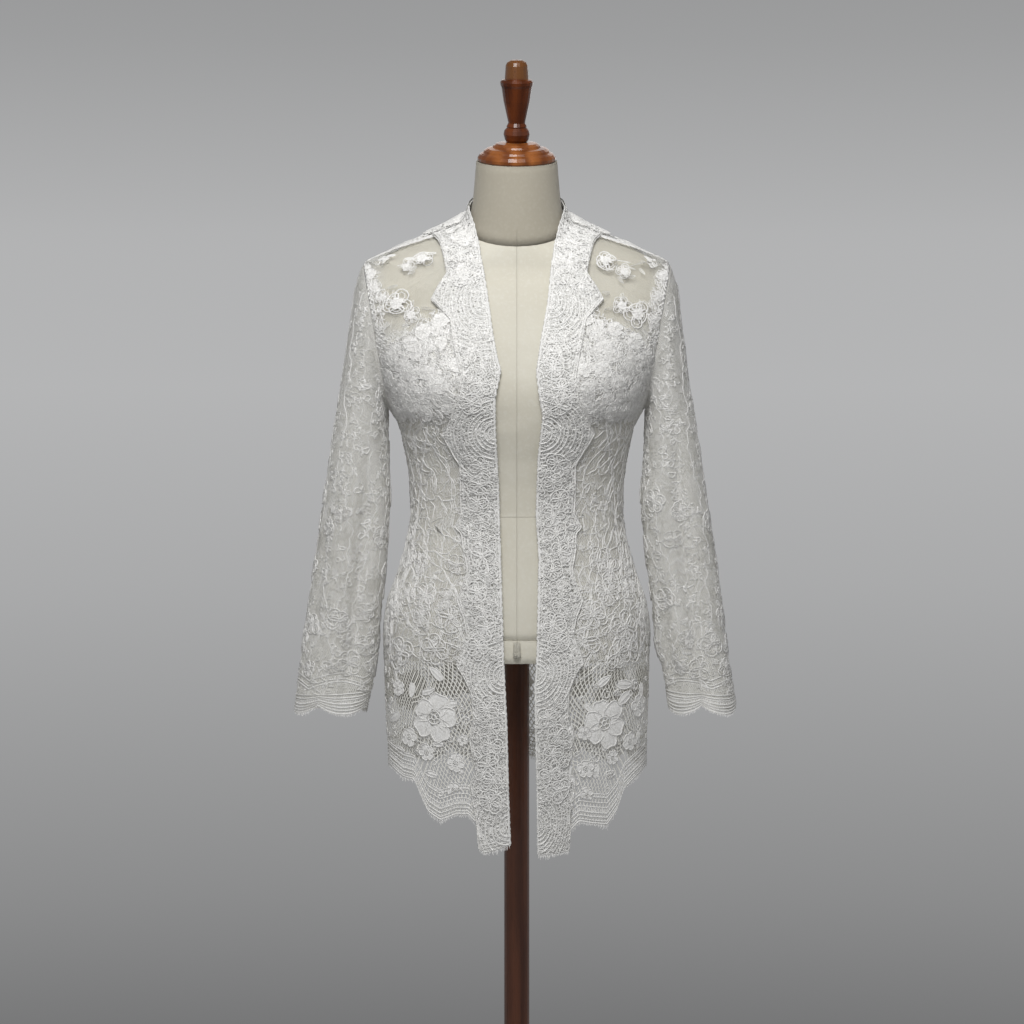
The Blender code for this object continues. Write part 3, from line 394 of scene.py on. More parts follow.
def front_pattern(side, part, columns, lift, follow_hem):
    """The pattern of a border or of the net of a front. Its low rows are level, or follow the hem."""
    rows, seams = [], []
    for value in FLAT_ROWS:
        turn, height, seam = front_points(side, False, value, columns, part)
        if follow_hem and value < HIP_Z:
            foot = cloth(turn, 0.70, side)[:, 0]
            if part == "border":
                foot = np.minimum(foot, straight(OPENING[side], 0.65) + 0.0405)
                foot = np.linspace(straight(OPENING[side], 0.65), straight(OPENING[side], 0.65) + 0.0405, columns)
            else:
                step = [row[0] for row in HEM[side]][5 if side == "left" else 4]
                foot = np.maximum(foot, step)
            low = straight(HEM[side], foot)
            height = low + (HIP_Z - low) * (value - HEM_LOW_Z) / (HIP_Z - HEM_LOW_Z)
        rows.append(cloth(turn, height, side, lift))
        seams.append(seam)
    for value in FAN_ROWS:
        turn, height, seam = front_points(side, True, value, columns, part)
        rows.append(cloth(turn, height, side, lift))
        seams.append(seam)
    made = Pattern(np.array(rows))
    made.seam = np.array(seams)
    return made


def back_hem(across):
    phase = ((1 - across) / 2 * BACK_SCALLOPS) % 1.0
    lobe = np.sin(np.pi * phase) ** 0.7
    return BACK_HEM_Z + 0.012 * np.abs(across) - BACK_SCALLOP * (lobe - 0.5)


def back_pattern(lift, follow_hem, heights=None, columns=97, low_edge=None):
    """The back from the right side seam to the left one."""
    across = np.linspace(1, -1, columns)
    rows = []
    for height in np.linspace(0.7120, 1.442, 170) if heights is None else heights:
        level = np.full(columns, height)
        if follow_hem and height < HIP_Z:
            low = back_hem(across)
            level = low + (HIP_Z - low) * (height - 0.7120) / (HIP_Z - 0.7120)
        if low_edge is not None:
            level = np.maximum(level, low_edge)
        right = cloth(2 - np.abs(across) + 0.002, level, "right", lift)
        left = cloth(2 - np.abs(across) + 0.002, level, "left", lift) * (-1, 1, 1)
        rows.append(np.where((across >= 0)[:, None], right, left))
    return Pattern(np.array(rows))


NET_LIFT, BORDER_LIFT = 0.0006, PANEL_WALL + BAND_LIFT + 0.0004
patterns = {}
for side in ("left", "right"):
    patterns["net", side] = front_pattern(side, "net", 57, NET_LIFT, True)
    patterns["level", side] = front_pattern(side, "net", 57, NET_LIFT, False)
    patterns["border", side] = front_pattern(side, "border", 25, BORDER_LIFT, True)
patterns["back net"] = back_pattern(NET_LIFT, True)
patterns["back"] = back_pattern(NET_LIFT, False)
for name, made in patterns.items():
    print(name, "pattern: %.0f mm up" % (made.up[-1] * 1000), "and %.0f mm across" % (made.width.max() * 1000))

# %% [markdown]
# ## Sleeves
#
# A sleeve is a tube that starts at the oval armhole and hangs straight. Its upper rings lean with the
# shoulder, and a few long folds run down it. Rings and folds from tables keep those folds where they are on
# the real one. A cloth simulation would move them.

# %% Tables and pattern of the sleeves
SLEEVE_OUTER = (  # height, outer line left, outer line right
    (1.3670, 0.1955, 0.1950), (1.3530, 0.2005, 0.1990), (1.3340, 0.2050, 0.2045), (1.2925, 0.2110, 0.2085),
    (1.2540, 0.2167, 0.2140), (1.2175, 0.2220, 0.2180), (1.1810, 0.2280, 0.2245), (1.1450, 0.2337, 0.2300),
    (1.0970, 0.2407, 0.2370), (1.0080, 0.2530, 0.2500), (0.9400, 0.2634, 0.2590), (0.8720, 0.2725, 0.2670),
    (0.8080, 0.2804, 0.2770), (0.7800, 0.2835, 0.2800),
)
SLEEVE_INNER = (  # height, inner line left, inner line right
    (1.1800, 0.1630, 0.1630), (1.1400, 0.1620, 0.1615), (1.0900, 0.1605, 0.1585), (1.0750, 0.1602, 0.1570),
    (1.0300, 0.1630, 0.1605), (0.9900, 0.1650, 0.1640), (0.9400, 0.1700, 0.1705), (0.9050, 0.1730, 0.1735),
    (0.8950, 0.1735, 0.1740), (0.8450, 0.1800, 0.1860), (0.8030, 0.1890, 0.1920), (0.7800, 0.1930, 0.1960),
)
SLEEVE_DEPTH = (  # height, half depth, middle in depth
    (0.8000, 0.0390, -0.012), (0.8700, 0.0410, -0.010), (0.9400, 0.0430, -0.008), (1.0000, 0.0460, -0.005),
    (1.1000, 0.0510, -0.002), (1.1800, 0.0560, 0.000), (1.3670, 0.0590, 0.000),
)
SLEEVE_RINGS = (  # height of the outer point, height of the inner point
    (1.3575, 1.1830), (1.3400, 1.1805), (1.3150, 1.1780), (1.2800, 1.1745), (1.2450, 1.1700),
    (1.2100, 1.1640), (1.1750, 1.1550), (1.1400, 1.1350), (1.1000, 1.1020), (1.0600, 1.0640),
    (1.0200, 1.0240), (0.9800, 0.9840), (0.9400, 0.9440), (0.9000, 0.9050), (0.8700, 0.8750),
    (0.8450, 0.8500), (0.8250, 0.8300), (0.8060, 0.8060),
)
SLEEVE_FOLDS = {  # angle from the outer line, spread, depth, top, bottom
    "left": (
        (112.0, 17.0, 0.0085, 1.150, 0.800), (38.0, 20.0, 0.0045, 1.120, 0.860),
        (-70.0, 22.0, 0.0060, 1.180, 0.800), (-130.0, 22.0, 0.0050, 1.080, 0.780),
    ),
    "right": (
        (86.0, 17.0, 0.0090, 1.200, 0.780), (140.0, 18.0, 0.0045, 1.050, 0.800),
        (-62.0, 22.0, 0.0060, 1.180, 0.800), (-126.0, 22.0, 0.0050, 1.080, 0.780),
    ),
}
CUFF_SCALLOPS, CUFF_SCALLOP, CUFF_NOTCH = 4, 0.013, {"left": 72.0, "right": 94.0}


def sleeve_pattern(side, columns=84, lift=NET_LIFT, follow_cuff=True):
    # Angle 0 is the outer line and 90 the front. The grid starts behind and runs so that it faces outwards.
    angles = np.radians(-150.0) - np.arange(columns) * 2 * math.pi / columns
    turn = np.where(np.sin(angles) >= 0, 1.0, 1.0 + 1e-6)
    start = cloth(turn, ARM_MIDDLE + ARM_HALF * np.cos(angles), "right", PANEL_WALL * 0.2)
    inward = unit(start * (0, 1, 1) - (0, 0, ARM_MIDDLE))
    start = start - inward * SLEEVE_WALL * 0.6 + (SEAM + 0.0002, 0, 0)
    outer_x, inner_x = (curve(table[::-1], 1 if side == "left" else 2) for table in (SLEEVE_OUTER, SLEEVE_INNER))
    half_depth, middle_y = curve(SLEEVE_DEPTH, 1), curve(SLEEVE_DEPTH, 2)
    rows = [start]
    last = len(SLEEVE_RINGS) - 1
    for index in np.concatenate([[0.0, 0.5, 1.0, 1.5, 2.0], np.linspace(2.0, last, 112)[1:]]):
        outer_z, inner_z = (float(np.interp(index, range(last + 1), [r[k] for r in SLEEVE_RINGS])) for k in (0, 1))
        outer = np.array([outer_x(outer_z) - SLEEVE_WALL, 0.0, outer_z])
        inner = np.array([inner_x(inner_z) + SLEEVE_WALL, 0.0, inner_z])
        middle, along = (outer + inner) / 2, (outer - inner) / 2
        here = middle[2] + along[2] * np.cos(angles)
        fold = np.zeros(columns)
        for at, spread, depth, top, bottom in SLEEVE_FOLDS[side]:
            away = (np.degrees(angles) - at + 180.0) % 360.0 - 180.0
            ramp = np.clip((top - here) / 0.10, 0, 1) * np.clip((here - bottom) / 0.06, 0.3, 1)
            fold += depth * ramp * np.exp(-((away / spread) ** 2))
        deep = float(half_depth(middle[2]))
        size = 1 - fold / max(np.linalg.norm(along), deep) * 1.15
        settle = min(1.0, (index + 1) / 4)
        y = start[:, 1] * (1 - settle) + (-np.sin(angles) * deep * size + middle_y(middle[2])) * settle
        ring = middle + along * (np.cos(angles) * size)[:, None]
        rows.append(np.stack([ring[:, 0], y, ring[:, 2]], -1))
    rows = np.array(rows)
    if follow_cuff:
        phase = ((np.degrees(angles) - CUFF_NOTCH[side]) / 360.0 * CUFF_SCALLOPS) % 1.0
        drop = CUFF_SCALLOP * (np.sin(np.pi * phase) ** 0.8 - 0.55)
        slope = unit(rows[-1] - rows[-8])
        for k in range(8):
            rows[-1 - k] = rows[-1 - k] + slope * (drop * (1 - k / 8))[:, None]
    made = Pattern(rows[::-1].copy(), closed=True)
    made.points = made.points + made.normals * (lift + 0.0004)
    return made


for side in ("left", "right"):
    patterns["sleeve", side] = sleeve_pattern(side)
print("sleeve, %.0f mm round at the cuff" % (patterns["sleeve", "left"].width[0] * 1000))

# %% [markdown]
# ## Drawing with thread
#
# Raised thread is a half-round ribbon, three points wide, which catches the light as a cord does and costs
# four triangles a step. Petals are small domed patches. A motif holds both as flat drawings with a height,
# so that one flower can be stamped many times and laid on any pattern.


# %% Motifs
LARGE_MOTIF = 100  # points from which a copy is fitted to the cloth point by point


class Motif:
    def __init__(self):
        self.points, self.faces, self.count = [], [], 0

    def add(self, points, faces):
        self.points.append(points.reshape(-1, 3))
        self.faces.append(faces.reshape(-1, 4) + self.count)
        self.count += self.points[-1].shape[0]
        return self

    def threads(self, paths, width=0.0014, height=0.0007, lift=0.0, taper=0.45):
        """Cords along lines of (s, t). Lines of one length are drawn in one go."""
        paths = np.asarray(paths, float)
        paths = paths[None] if paths.ndim == 2 else paths
        count, steps = paths.shape[:2]
        ahead = unit(np.gradient(paths, axis=1))
        aside = np.stack([-ahead[..., 1], ahead[..., 0]], -1)
        ends = np.ones(steps)
        ends[0] = ends[-1] = taper
        half = np.broadcast_to(np.asarray(width, float).reshape(-1, 1), (count, 1)) / 2 * ends[None]
        tall = np.broadcast_to(np.asarray(height, float).reshape(-1, 1), (count, 1)) * ends[None]
        left = np.concatenate([paths + aside * half[..., None], np.full((count, steps, 1), lift)], -1)
        crest = np.concatenate([paths, tall[..., None] + lift], -1)
        right = np.concatenate([paths - aside * half[..., None], np.full((count, steps, 1), lift)], -1)
        points = np.stack([left, crest, right], 2)
        first = (np.arange(count)[:, None] * steps + np.arange(steps - 1)[None]) * 3
        quads = [np.stack([first + k, first + k + 1, first + k + 4, first + k + 3], -1) for k in (0, 1)]
        return self.add(points, np.stack(quads, 2))

    def patch(self, grid):
        """A domed patch through a grid of (s, t, height)."""
        rows, columns = grid.shape[:2]
        first = np.arange(rows - 1)[:, None] * columns + np.arange(columns - 1)[None]
        return self.add(grid, np.stack([first, first + 1, first + columns + 1, first + columns], -1))

    def stamp(self, motif, s, t, size=1.0, turn=0.0, lift=0.0, on=None):
        """Copies a motif to s and t. Where a pattern is given, its grain there keeps the copy undistorted."""
        points, faces = motif.drawing()
        c, d = math.cos(turn) * size, math.sin(turn) * size
        x, y = points[:, 0] * c - points[:, 1] * d, points[:, 0] * d + points[:, 1] * c
        if on is None:
            x, y = x + s, y + t
        else:
            x, y = on.spread(x, y, s, t, len(points) > LARGE_MOTIF)
        return self.add(np.stack([x, y, points[:, 2] * min(1.0, size + 0.3) + lift], -1), faces)

    def drawing(self):
        if len(self.points) > 1:
            self.points, self.faces = [np.concatenate(self.points)], [np.concatenate(self.faces)]
        return self.points[0], self.faces[0]


def spline(points, steps):
    """A line of even steps through a few points, rounded at its corners."""
    points = np.asarray(points, float)
    at = np.linspace(0, len(points) - 1, steps)
    padded = np.concatenate([2 * points[:1] - points[1:2], points, 2 * points[-1:] - points[-2:-1]])
    i = np.minimum(at.astype(int), len(points) - 2)
    k = (at - i)[:, None]
    a, b, c, d = (padded[i + n] for n in range(4))
    return 0.5 * (2 * b + (c - a) * k + (2 * a - 5 * b + 4 * c - d) * k**2 + (3 * b - a - 3 * c + d) * k**3)


def petal(length, width, notch=0.0, dome=0.0012, rows=5, columns=5, foot=0.14, full=0.80):
    """A woven petal that grows along +t from its foot, thick in the middle, notched at its tip."""
    up = np.linspace(foot, 1.0, rows)[:, None]
    over = np.linspace(-1, 1, columns)[None]
    shape = np.sin(np.pi * np.clip(up * full + 0.04, 0, 1)) ** 0.8
    x = over * shape * width / 2
    y = (up - notch * np.exp(-((over / 0.35) ** 2)) * up**4 + 0.10 * (1 - over**2) * up) * length
    z = dome * (0.3 + 0.7 * (1 - over**2) ** 0.6 * np.sin(np.pi * np.clip(up, 0.1, 0.95)) ** 0.5)
    return np.stack([x + 0 * up, y + 0 * over, z + 0 * x], -1)


def teardrop(length, width, steps=12):
    """The outline of a petal: out from the foot, round the tip and back."""
    angle = np.linspace(0, 2 * math.pi, steps)
    x = width * 0.62 * np.sin(angle) * np.sin(angle / 2) ** 0.6
    return np.stack([x, length * (1 - np.cos(angle)) / 2], -1)


def woven_flower(petals, radius, rng, centre=0.26, width=0.84, notch=0.14, line=0.0013, veins=2):
    """A flower whose petals are filled with thread and stand apart, round an open middle with spokes."""
    made = Motif()
    for k in range(petals):
        reach = radius * rng.uniform(0.86, 1.10)
        wide = 2 * math.pi * radius / petals * width * rng.uniform(0.92, 1.05)
        grid = petal(reach, wide, notch, 0.0011, foot=centre, full=0.70)
        one = Motif().patch(grid)
        edge = np.concatenate([grid[:, 0, :2], grid[-1, 1:-1, :2], grid[::-1, -1, :2]])
        one.threads(spline(edge, 16), line, 0.0013, 0.0004)
        for vein in np.linspace(-0.5, 0.5, veins):
            tip = (vein * grid[2, -1, 0] * 1.2, reach * 0.72)
            one.threads(spline([(0, reach * centre), tip], 3), 0.0009, 0.0006, 0.0014)
        made.stamp(one, 0, 0, turn=2 * math.pi * k / petals + rng.uniform(-0.08, 0.08))
    ring = np.linspace(0, 2 * math.pi, 12)
    round_line = np.stack([np.cos(ring), np.sin(ring)], -1)
    made.threads(round_line * radius * centre, line, 0.0012, 0.0006, 1.0)
    made.threads(round_line * radius * centre * 0.36, line, 0.0013, 0.0006, 1.0)
    angles = 2 * math.pi * (np.arange(petals) + 0.5) / petals
    spokes = np.stack([np.cos(angles), np.sin(angles)], -1)[:, None] * np.array([0.40, 1.0])[None, :, None]
    made.threads(spokes * radius * centre, line * 0.9, 0.0010, 0.0004, 1.0)
    return made


def corded_flower(petals, radius, rng, cord=0.0013, inner=True):
    """A flower in outline: a cord round each petal, a thinner one inside it, and a ring in the middle."""
    made = Motif()
    for k in range(petals):
        reach = radius * rng.uniform(0.72, 1.18)
        width = 2 * math.pi * radius / petals * rng.uniform(0.66, 0.92)
        one = Motif().threads(teardrop(reach, width), cord, 0.0013, taper=0.8)
        if inner:
            one.threads(teardrop(reach * 0.60, width * 0.55, 8) + (0, reach * 0.20), cord * 0.75, 0.0009, taper=0.8)
        made.stamp(one, 0, 0, turn=2 * math.pi * k / petals + rng.uniform(-0.22, 0.22))
    ring = np.linspace(0, 2 * math.pi, 8)
    made.threads(np.stack([np.cos(ring), np.sin(ring)], -1) * radius * 0.16, cord, 0.0013, 0.0004, 1.0)
    return made


def leaf(length, width, rng, filled=True, bend=0.12):
    made = Motif()
    grid = petal(length, width, -0.10, 0.0008)
    grid[..., 0] += bend * length * (grid[..., 1] / length) ** 2
    if filled:
        made.patch(grid)
    edge = np.concatenate([grid[:, 0, :2], grid[-1, 1:-1, :2], grid[::-1, -1, :2]])
    made.threads(spline(edge, 12), 0.0012, 0.0010, 0.0003)
    made.threads(spline(grid[:, 2, :2], 5), 0.0010, 0.0008, 0.0006)
    if not filled:
        for k in (0, 1, 2):
            made.threads([[grid[k, 2, :2], grid[k + 1, 0, :2]], [grid[k, 2, :2], grid[k + 1, 4, :2]]], 0.0009, 0.0006)
    return made


def curl(radius, turns, grow=0.25, steps=13):
    angle = np.linspace(0, turns * 2 * math.pi, steps)
    reach = radius * (1 - (1 - grow) * np.linspace(0, 1, steps))
    return Motif().threads(np.stack([np.cos(angle) * reach, np.sin(angle) * reach], -1), 0.0013, 0.0010)


def scribble(radius, rng, cord=0.0011, steps=15):
    """A tangle of one thin cord that crosses itself two or three times."""
    angle = np.linspace(0, 2 * math.pi * rng.uniform(0.75, 1.1), steps)
    phase = rng.uniform(0, 6.28, 4)
    twice = rng.integers(2, 4, 2)
    x = 0.62 * np.cos(angle + phase[0]) + 0.45 * np.cos(twice[0] * angle + phase[1])
    y = 0.62 * np.sin(angle + phase[2]) + 0.45 * np.sin(twice[1] * angle + phase[3])
    return Motif().threads(np.stack([x, y], -1) * radius, cord, cord * 0.9)


def spray(rng, radius=0.014):
    """A corded flower with two or three small ones and scribbles about it, which is the unit that lace repeats."""
    made = Motif()
    start = rng.uniform(0, 6.28)
    for k in range(5):
        angle = start + 2 * math.pi * (k + rng.uniform(-0.2, 0.2)) / 5
        at = np.array([math.cos(angle), math.sin(angle)]) * radius * 1.05
        if k % 2:
            made.stamp(corded_flower(5, radius * 0.45, rng, 0.0011, False), at[0], at[1], turn=angle)
        else:
            made.stamp(scribble(radius * 0.42, rng), at[0], at[1], turn=angle)
    return made.stamp(corded_flower(int(rng.integers(5, 7)), radius, rng), 0, 0, lift=0.0005)


rng = np.random.default_rng(7)
SPRAYS = [spray(rng) for _ in range(4)]
BIG_FLOWERS = [woven_flower(n, 0.028, rng, 0.30, 0.74, 0.09, 0.0016, 2) for n in (5, 6)]
SMALL_FLOWERS = [woven_flower(n, 0.0105, rng, 0.32, 0.74, 0.05, 0.0012, 0) for n in (5, 6, 5)]
CORDED = [corded_flower(n, 0.013, rng) for n in (5, 6, 5, 7)]
FINE_CORDED = [corded_flower(n, 0.013, rng, 0.0009) for n in (5, 6, 5, 7)]
BLOSSOMS = [woven_flower(n, 0.0125, rng, 0.24, 0.78, 0.08, 0.0013, 2) for n in (5, 6, 5)]
BUDS = [corded_flower(n, 0.0065, rng, 0.0012, False) for n in (5, 4, 5)]
LEAVES = [leaf(0.015, 0.007, rng), leaf(0.018, 0.008, rng, bend=-0.1), leaf(0.020, 0.010, rng, False)]
CURLS = [curl(0.006, 1.3), curl(0.0075, 1.1, 0.35), curl(0.005, 0.8, 0.5)]
SCRIBBLES = [scribble(0.0048, rng) for _ in range(10)]
FINE_SCRIBBLES = [scribble(0.0042, rng, 0.0008, 13) for _ in range(10)]
print("motifs:", [m.count for m in SPRAYS + BIG_FLOWERS + SMALL_FLOWERS + CORDED + BUDS])

# %% [markdown]
# ## The web between the flowers
#
# Between its flowers the lace has an uneven web of fine cords. Cells that grow round scattered points until
# they meet give such a web. The lines where they meet are found from triangles between the points, bent by
# a smooth drift so that none looks ruled, and drawn thick or thin by chance.


# %% Web
def drift(points, size, amount, seed):
    """A smooth push that differs from place to place."""
    turned = np.random.default_rng(seed).uniform(0, 6.28, (4, 2))
    x, y = points[..., 0] / size * 6.28, points[..., 1] / size * 6.28
    push = [
        np.sin(x * 0.9 + y * 0.5 + turned[0, k]) + np.sin(y * 1.1 - x * 0.4 + turned[1, k])
        + 0.6 * np.sin(x * 2.1 + y * 1.3 + turned[2, k]) + 0.6 * np.sin(y * 2.4 - x * 1.7 + turned[3, k])
        for k in (0, 1)
    ]
    return points + np.stack(push, -1) * amount / 2


def web(low, high, cell, stretch, seed, steps=5):
    """Lines of the web over a rectangle of the pattern, each of a few points."""
    rng = np.random.default_rng(seed)
    across = np.arange(low[0] - cell, high[0] + cell, cell)
    up = np.arange(low[1] - cell, high[1] + cell * stretch, cell * stretch * 0.87)
    grid = np.stack(np.meshgrid(across, up), -1)
    grid[1::2, :, 0] += cell / 2
    grid = grid.reshape(-1, 2) + rng.uniform(-0.42, 0.42, (grid.size // 2, 2)) * (cell, cell * stretch)
    squeezed = grid / (1, stretch)
    found = geometry.delaunay_2d_cdt([Vector(p) for p in squeezed], [], [], 0, 1e-7)
    spots = np.array([tuple(v) for v in found[0]])
    corners = np.array([f for f in found[2] if len(f) == 3])
    a, b, c = (spots[corners[:, k]] for k in range(3))
    double = 2 * ((a[:, 0] - c[:, 0]) * (b[:, 1] - c[:, 1]) - (b[:, 0] - c[:, 0]) * (a[:, 1] - c[:, 1]))
    one, two = (a**2 - c**2).sum(1), (b**2 - c**2).sum(1)
    middle = np.stack([
        one * (b[:, 1] - c[:, 1]) - two * (a[:, 1] - c[:, 1]),
        two * (a[:, 0] - c[:, 0]) - one * (b[:, 0] - c[:, 0]),
    ], -1) / double[:, None]
    owner = {}
    lines = []
    for face, corner in enumerate(corners.tolist()):
        for k in range(3):
            key = tuple(sorted((corner[k], corner[k - 1])))
            if key in owner:
                lines.append((owner[key], face))
            owner[key] = face
    ends = middle[np.array(lines)] * (1, stretch)
    length = np.linalg.norm(ends[:, 1] - ends[:, 0], axis=1)
    ends = ends[(length > cell * 0.12) & (length < cell * stretch * 2.5)]
    along = np.linspace(0, 1, steps)[None, :, None]
    paths = ends[:, :1] * (1 - along) + ends[:, 1:] * along
    return drift(paths, cell * 2.2, cell * 0.30, seed)


print("a web of", len(web((0, 0), (0.1, 0.1), 0.010, 1.3, 1)), "lines for 100 by 100 mm")


# %% Laying motifs on the cloth
def in_world(points, mirrored):
    return points * (-1, 1, 1) if mirrored else points


def mesh_piece(name, points, faces, material, mirrored=False):
    points = in_world(points, mirrored)
    faces = faces[:, ::-1] if mirrored else faces
    mesh = bpy.data.meshes.new(name)
    mesh.from_pydata(points.tolist(), [], faces.tolist())
    mesh.shade_smooth()
    mesh.materials.append(material)
    thing = bpy.data.objects.new(name, mesh)
    bpy.context.scene.collection.objects.link(thing)
    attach(thing, "root")
    return thing


def lay(name, motif, pattern, material, mirrored=False, inside=None, lift=0.0002):
    """Lays a drawing on the cloth. Faces outside the pattern, or where inside says no, are left out."""
    points, faces = motif.drawing()
    s, t = points[:, 0], points[:, 1]
    good = (t > 0.0004) & (t < pattern.up[-1] - 0.0004)
    if not pattern.closed:
        good &= (s > 0.0004) & (s < pattern.width_at(t) - 0.0004)
    if inside is not None:
        good &= inside(s, t)
    faces = faces[good[faces].all(1)]
    used, index = np.unique(faces, return_inverse=True)
    faces = index.reshape(faces.shape)
    placed = pattern.place(s[used], t[used], points[used, 2] + lift)
    print(name, 2 * len(faces), "triangles")
    return mesh_piece(name, placed, faces, material, mirrored)


def net_piece(name, pattern, material, mirrored=False, cover=0.5, coarse=0.0):
    """The ground of a panel, with its flat coordinates as a UV map in metres."""
    rows, columns = pattern.points.shape[:2]
    cells = columns if pattern.closed else columns - 1
    first = np.arange(rows - 1)[:, None] * columns + np.arange(cells)[None]
    after = np.arange(rows - 1)[:, None] * columns + (np.arange(cells)[None] + 1) % columns
    faces = np.stack([first, after, after + columns, first + columns], -1).reshape(-1, 4)
    thing = mesh_piece(name, pattern.points.reshape(-1, 3), faces, material, mirrored)
    mesh = thing.data
    flat = np.stack([pattern.flat_s, np.broadcast_to(pattern.up[:, None], pattern.flat_s.shape)], -1).reshape(-1, 2)
    corner = np.empty(len(mesh.loops), np.int32)
    mesh.loops.foreach_get("vertex_index", corner)
    at = flat[corner]
    if pattern.closed:
        jump = pattern.width.mean() / 2
        ahead = (at[:, 0] < at.reshape(-1, 4, 2)[:, :, 0].max(1).repeat(4) - jump)
        at[:, 0] = np.where(ahead, at[:, 0] + pattern.width_at(at[:, 1]), at[:, 0])
    layer = mesh.uv_layers.new(name="flat")
    layer.uv.foreach_set("vector", at.astype(np.float32).ravel())
    for label, value in (("cover", cover), ("coarse", coarse)):
        attribute = mesh.attributes.new(label, "FLOAT", "POINT")
        values = np.broadcast_to(np.asarray(value, float), pattern.flat_s.shape)
        attribute.data.foreach_set("value", values.astype(np.float32).ravel())
    return thing

# %% [markdown]
# ## Writing a finish as sums
#
# A finish is worked out from place to place: how far a point is from a thread, how rough the wood is. Such
# maths reads best as plain expressions, so a small class lets a socket be added, multiplied and compared.
# Drawing the same nodes by hand would hide what they work out.


# %% Shader sums
class Sum:
    def __init__(self, socket):
        self.socket = socket

    def maths(self, operation, *others, clamp=False):
        tree = self.socket.id_data
        return node(tree, "ShaderNodeMath", {"operation": operation, "use_clamp": clamp}, dict(enumerate((self, *others))))

    def swapped(self, operation, other):
        tree = self.socket.id_data
        return node(tree, "ShaderNodeMath", {"operation": operation}, {0: other, 1: self})

    def __add__(self, other):
        return self.maths("ADD", other)

    def __sub__(self, other):
        return self.maths("SUBTRACT", other)

    def __mul__(self, other):
        return self.maths("MULTIPLY", other)

    def __truediv__(self, other):
        return self.maths("DIVIDE", other)

    def __rsub__(self, other):
        return self.swapped("SUBTRACT", other)

    __radd__, __rmul__ = __add__, __mul__

    def step(self, low, high, start=0.0, end=1.0):
        """A soft step from start to end as the value goes from low to high."""
        settings = {"interpolation_type": "SMOOTHSTEP"}
        inputs = {0: self, 1: low, 2: high, 3: start, 4: end}
        return node(self.socket.id_data, "ShaderNodeMapRange", settings, inputs)


def node(tree, kind, settings, inputs, output=0):
    """Any node: its settings first, a ramp's stops among them, then the values or links of its sockets."""
    made = tree.nodes.new(kind)
    for key, value in settings.items():
        if key == "stops":
            elements = made.color_ramp.elements
            elements.remove(elements[1])
            elements[0].position, elements[0].color = value[0][0], (*value[0][1], 1.0)
            for at, colour in value[1:]:
                elements.new(at).color = (*colour, 1.0)
        else:
            setattr(made, key, value)
    for key, value in inputs.items():
        if isinstance(value, Sum):
            tree.links.new(value.socket, made.inputs[key])
        else:
            made.inputs[key].default_value = value
    return Sum(made.outputs[output])


def finish(name, **fixed):
    """A new material with its shader's plain sockets set, its tree, and a function that feeds the others."""
    made = bpy.data.materials.new(name)
    made.use_nodes = True
    tree = made.node_tree
    shader = tree.nodes["Principled BSDF"]
    for key, value in fixed.items():
        shader.inputs[key.replace("_", " ")].default_value = value

    def feed(socket, value):
        tree.links.new(value.socket, shader.inputs[socket])

    return made, tree, feed


def colours(tree, factor, first, second):
    settings = {"data_type": "RGBA"}
    return node(tree, "ShaderNodeMix", settings, {0: factor, 6: (*first, 1.0) if isinstance(first, tuple) else first,
                                                  7: (*second, 1.0) if isinstance(second, tuple) else second}, 2)


def bump(tree, height, distance, strength=1.0):
    return node(tree, "ShaderNodeBump", {}, {"Height": height, "Distance": distance, "Strength": strength})


def noise(tree, at, scale, detail=3.0, roughness=0.55):
    return node(tree, "ShaderNodeTexNoise", {}, {"Vector": at, "Scale": scale, "Detail": detail, "Roughness": roughness})


def object_place(tree):
    return node(tree, "ShaderNodeTexCoord", {}, {}, 3)


def part_of(tree, vector, which):
    return node(tree, "ShaderNodeSeparateXYZ", {}, {0: vector}, which)


# %% [markdown]
# ## Net and thread
#
# The ground is a real net with holes, so its finish cuts them with alpha. Two sets of slanting threads cross.
# A panel says for each of its points how much of it is thread and where the net turns coarse, and the finish
# reads that. Modelling a net of two millimetre cells as mesh would take millions of faces. The raised threads
# are mesh, because they throw shadows and show on the outline.


# %% Finishes of the lace
def thread_line(along, pitch, width):
    """1 on threads that repeat at the pitch, 0 in the holes."""
    away = along.maths("PINGPONG", pitch / 2)
    half = width * 0.5 if isinstance(width, Sum) else width / 2
    return away.step(half - 0.00010, half + 0.00010, 1.0, 0.0)


def crossed(u, v, pitch, width):
    one = thread_line(u * 0.866 + v * 0.5 + 5.0, pitch, width)
    two = thread_line(u * 0.866 - v * 0.5 + 5.0, pitch, width)
    return one.maths("MAXIMUM", two)


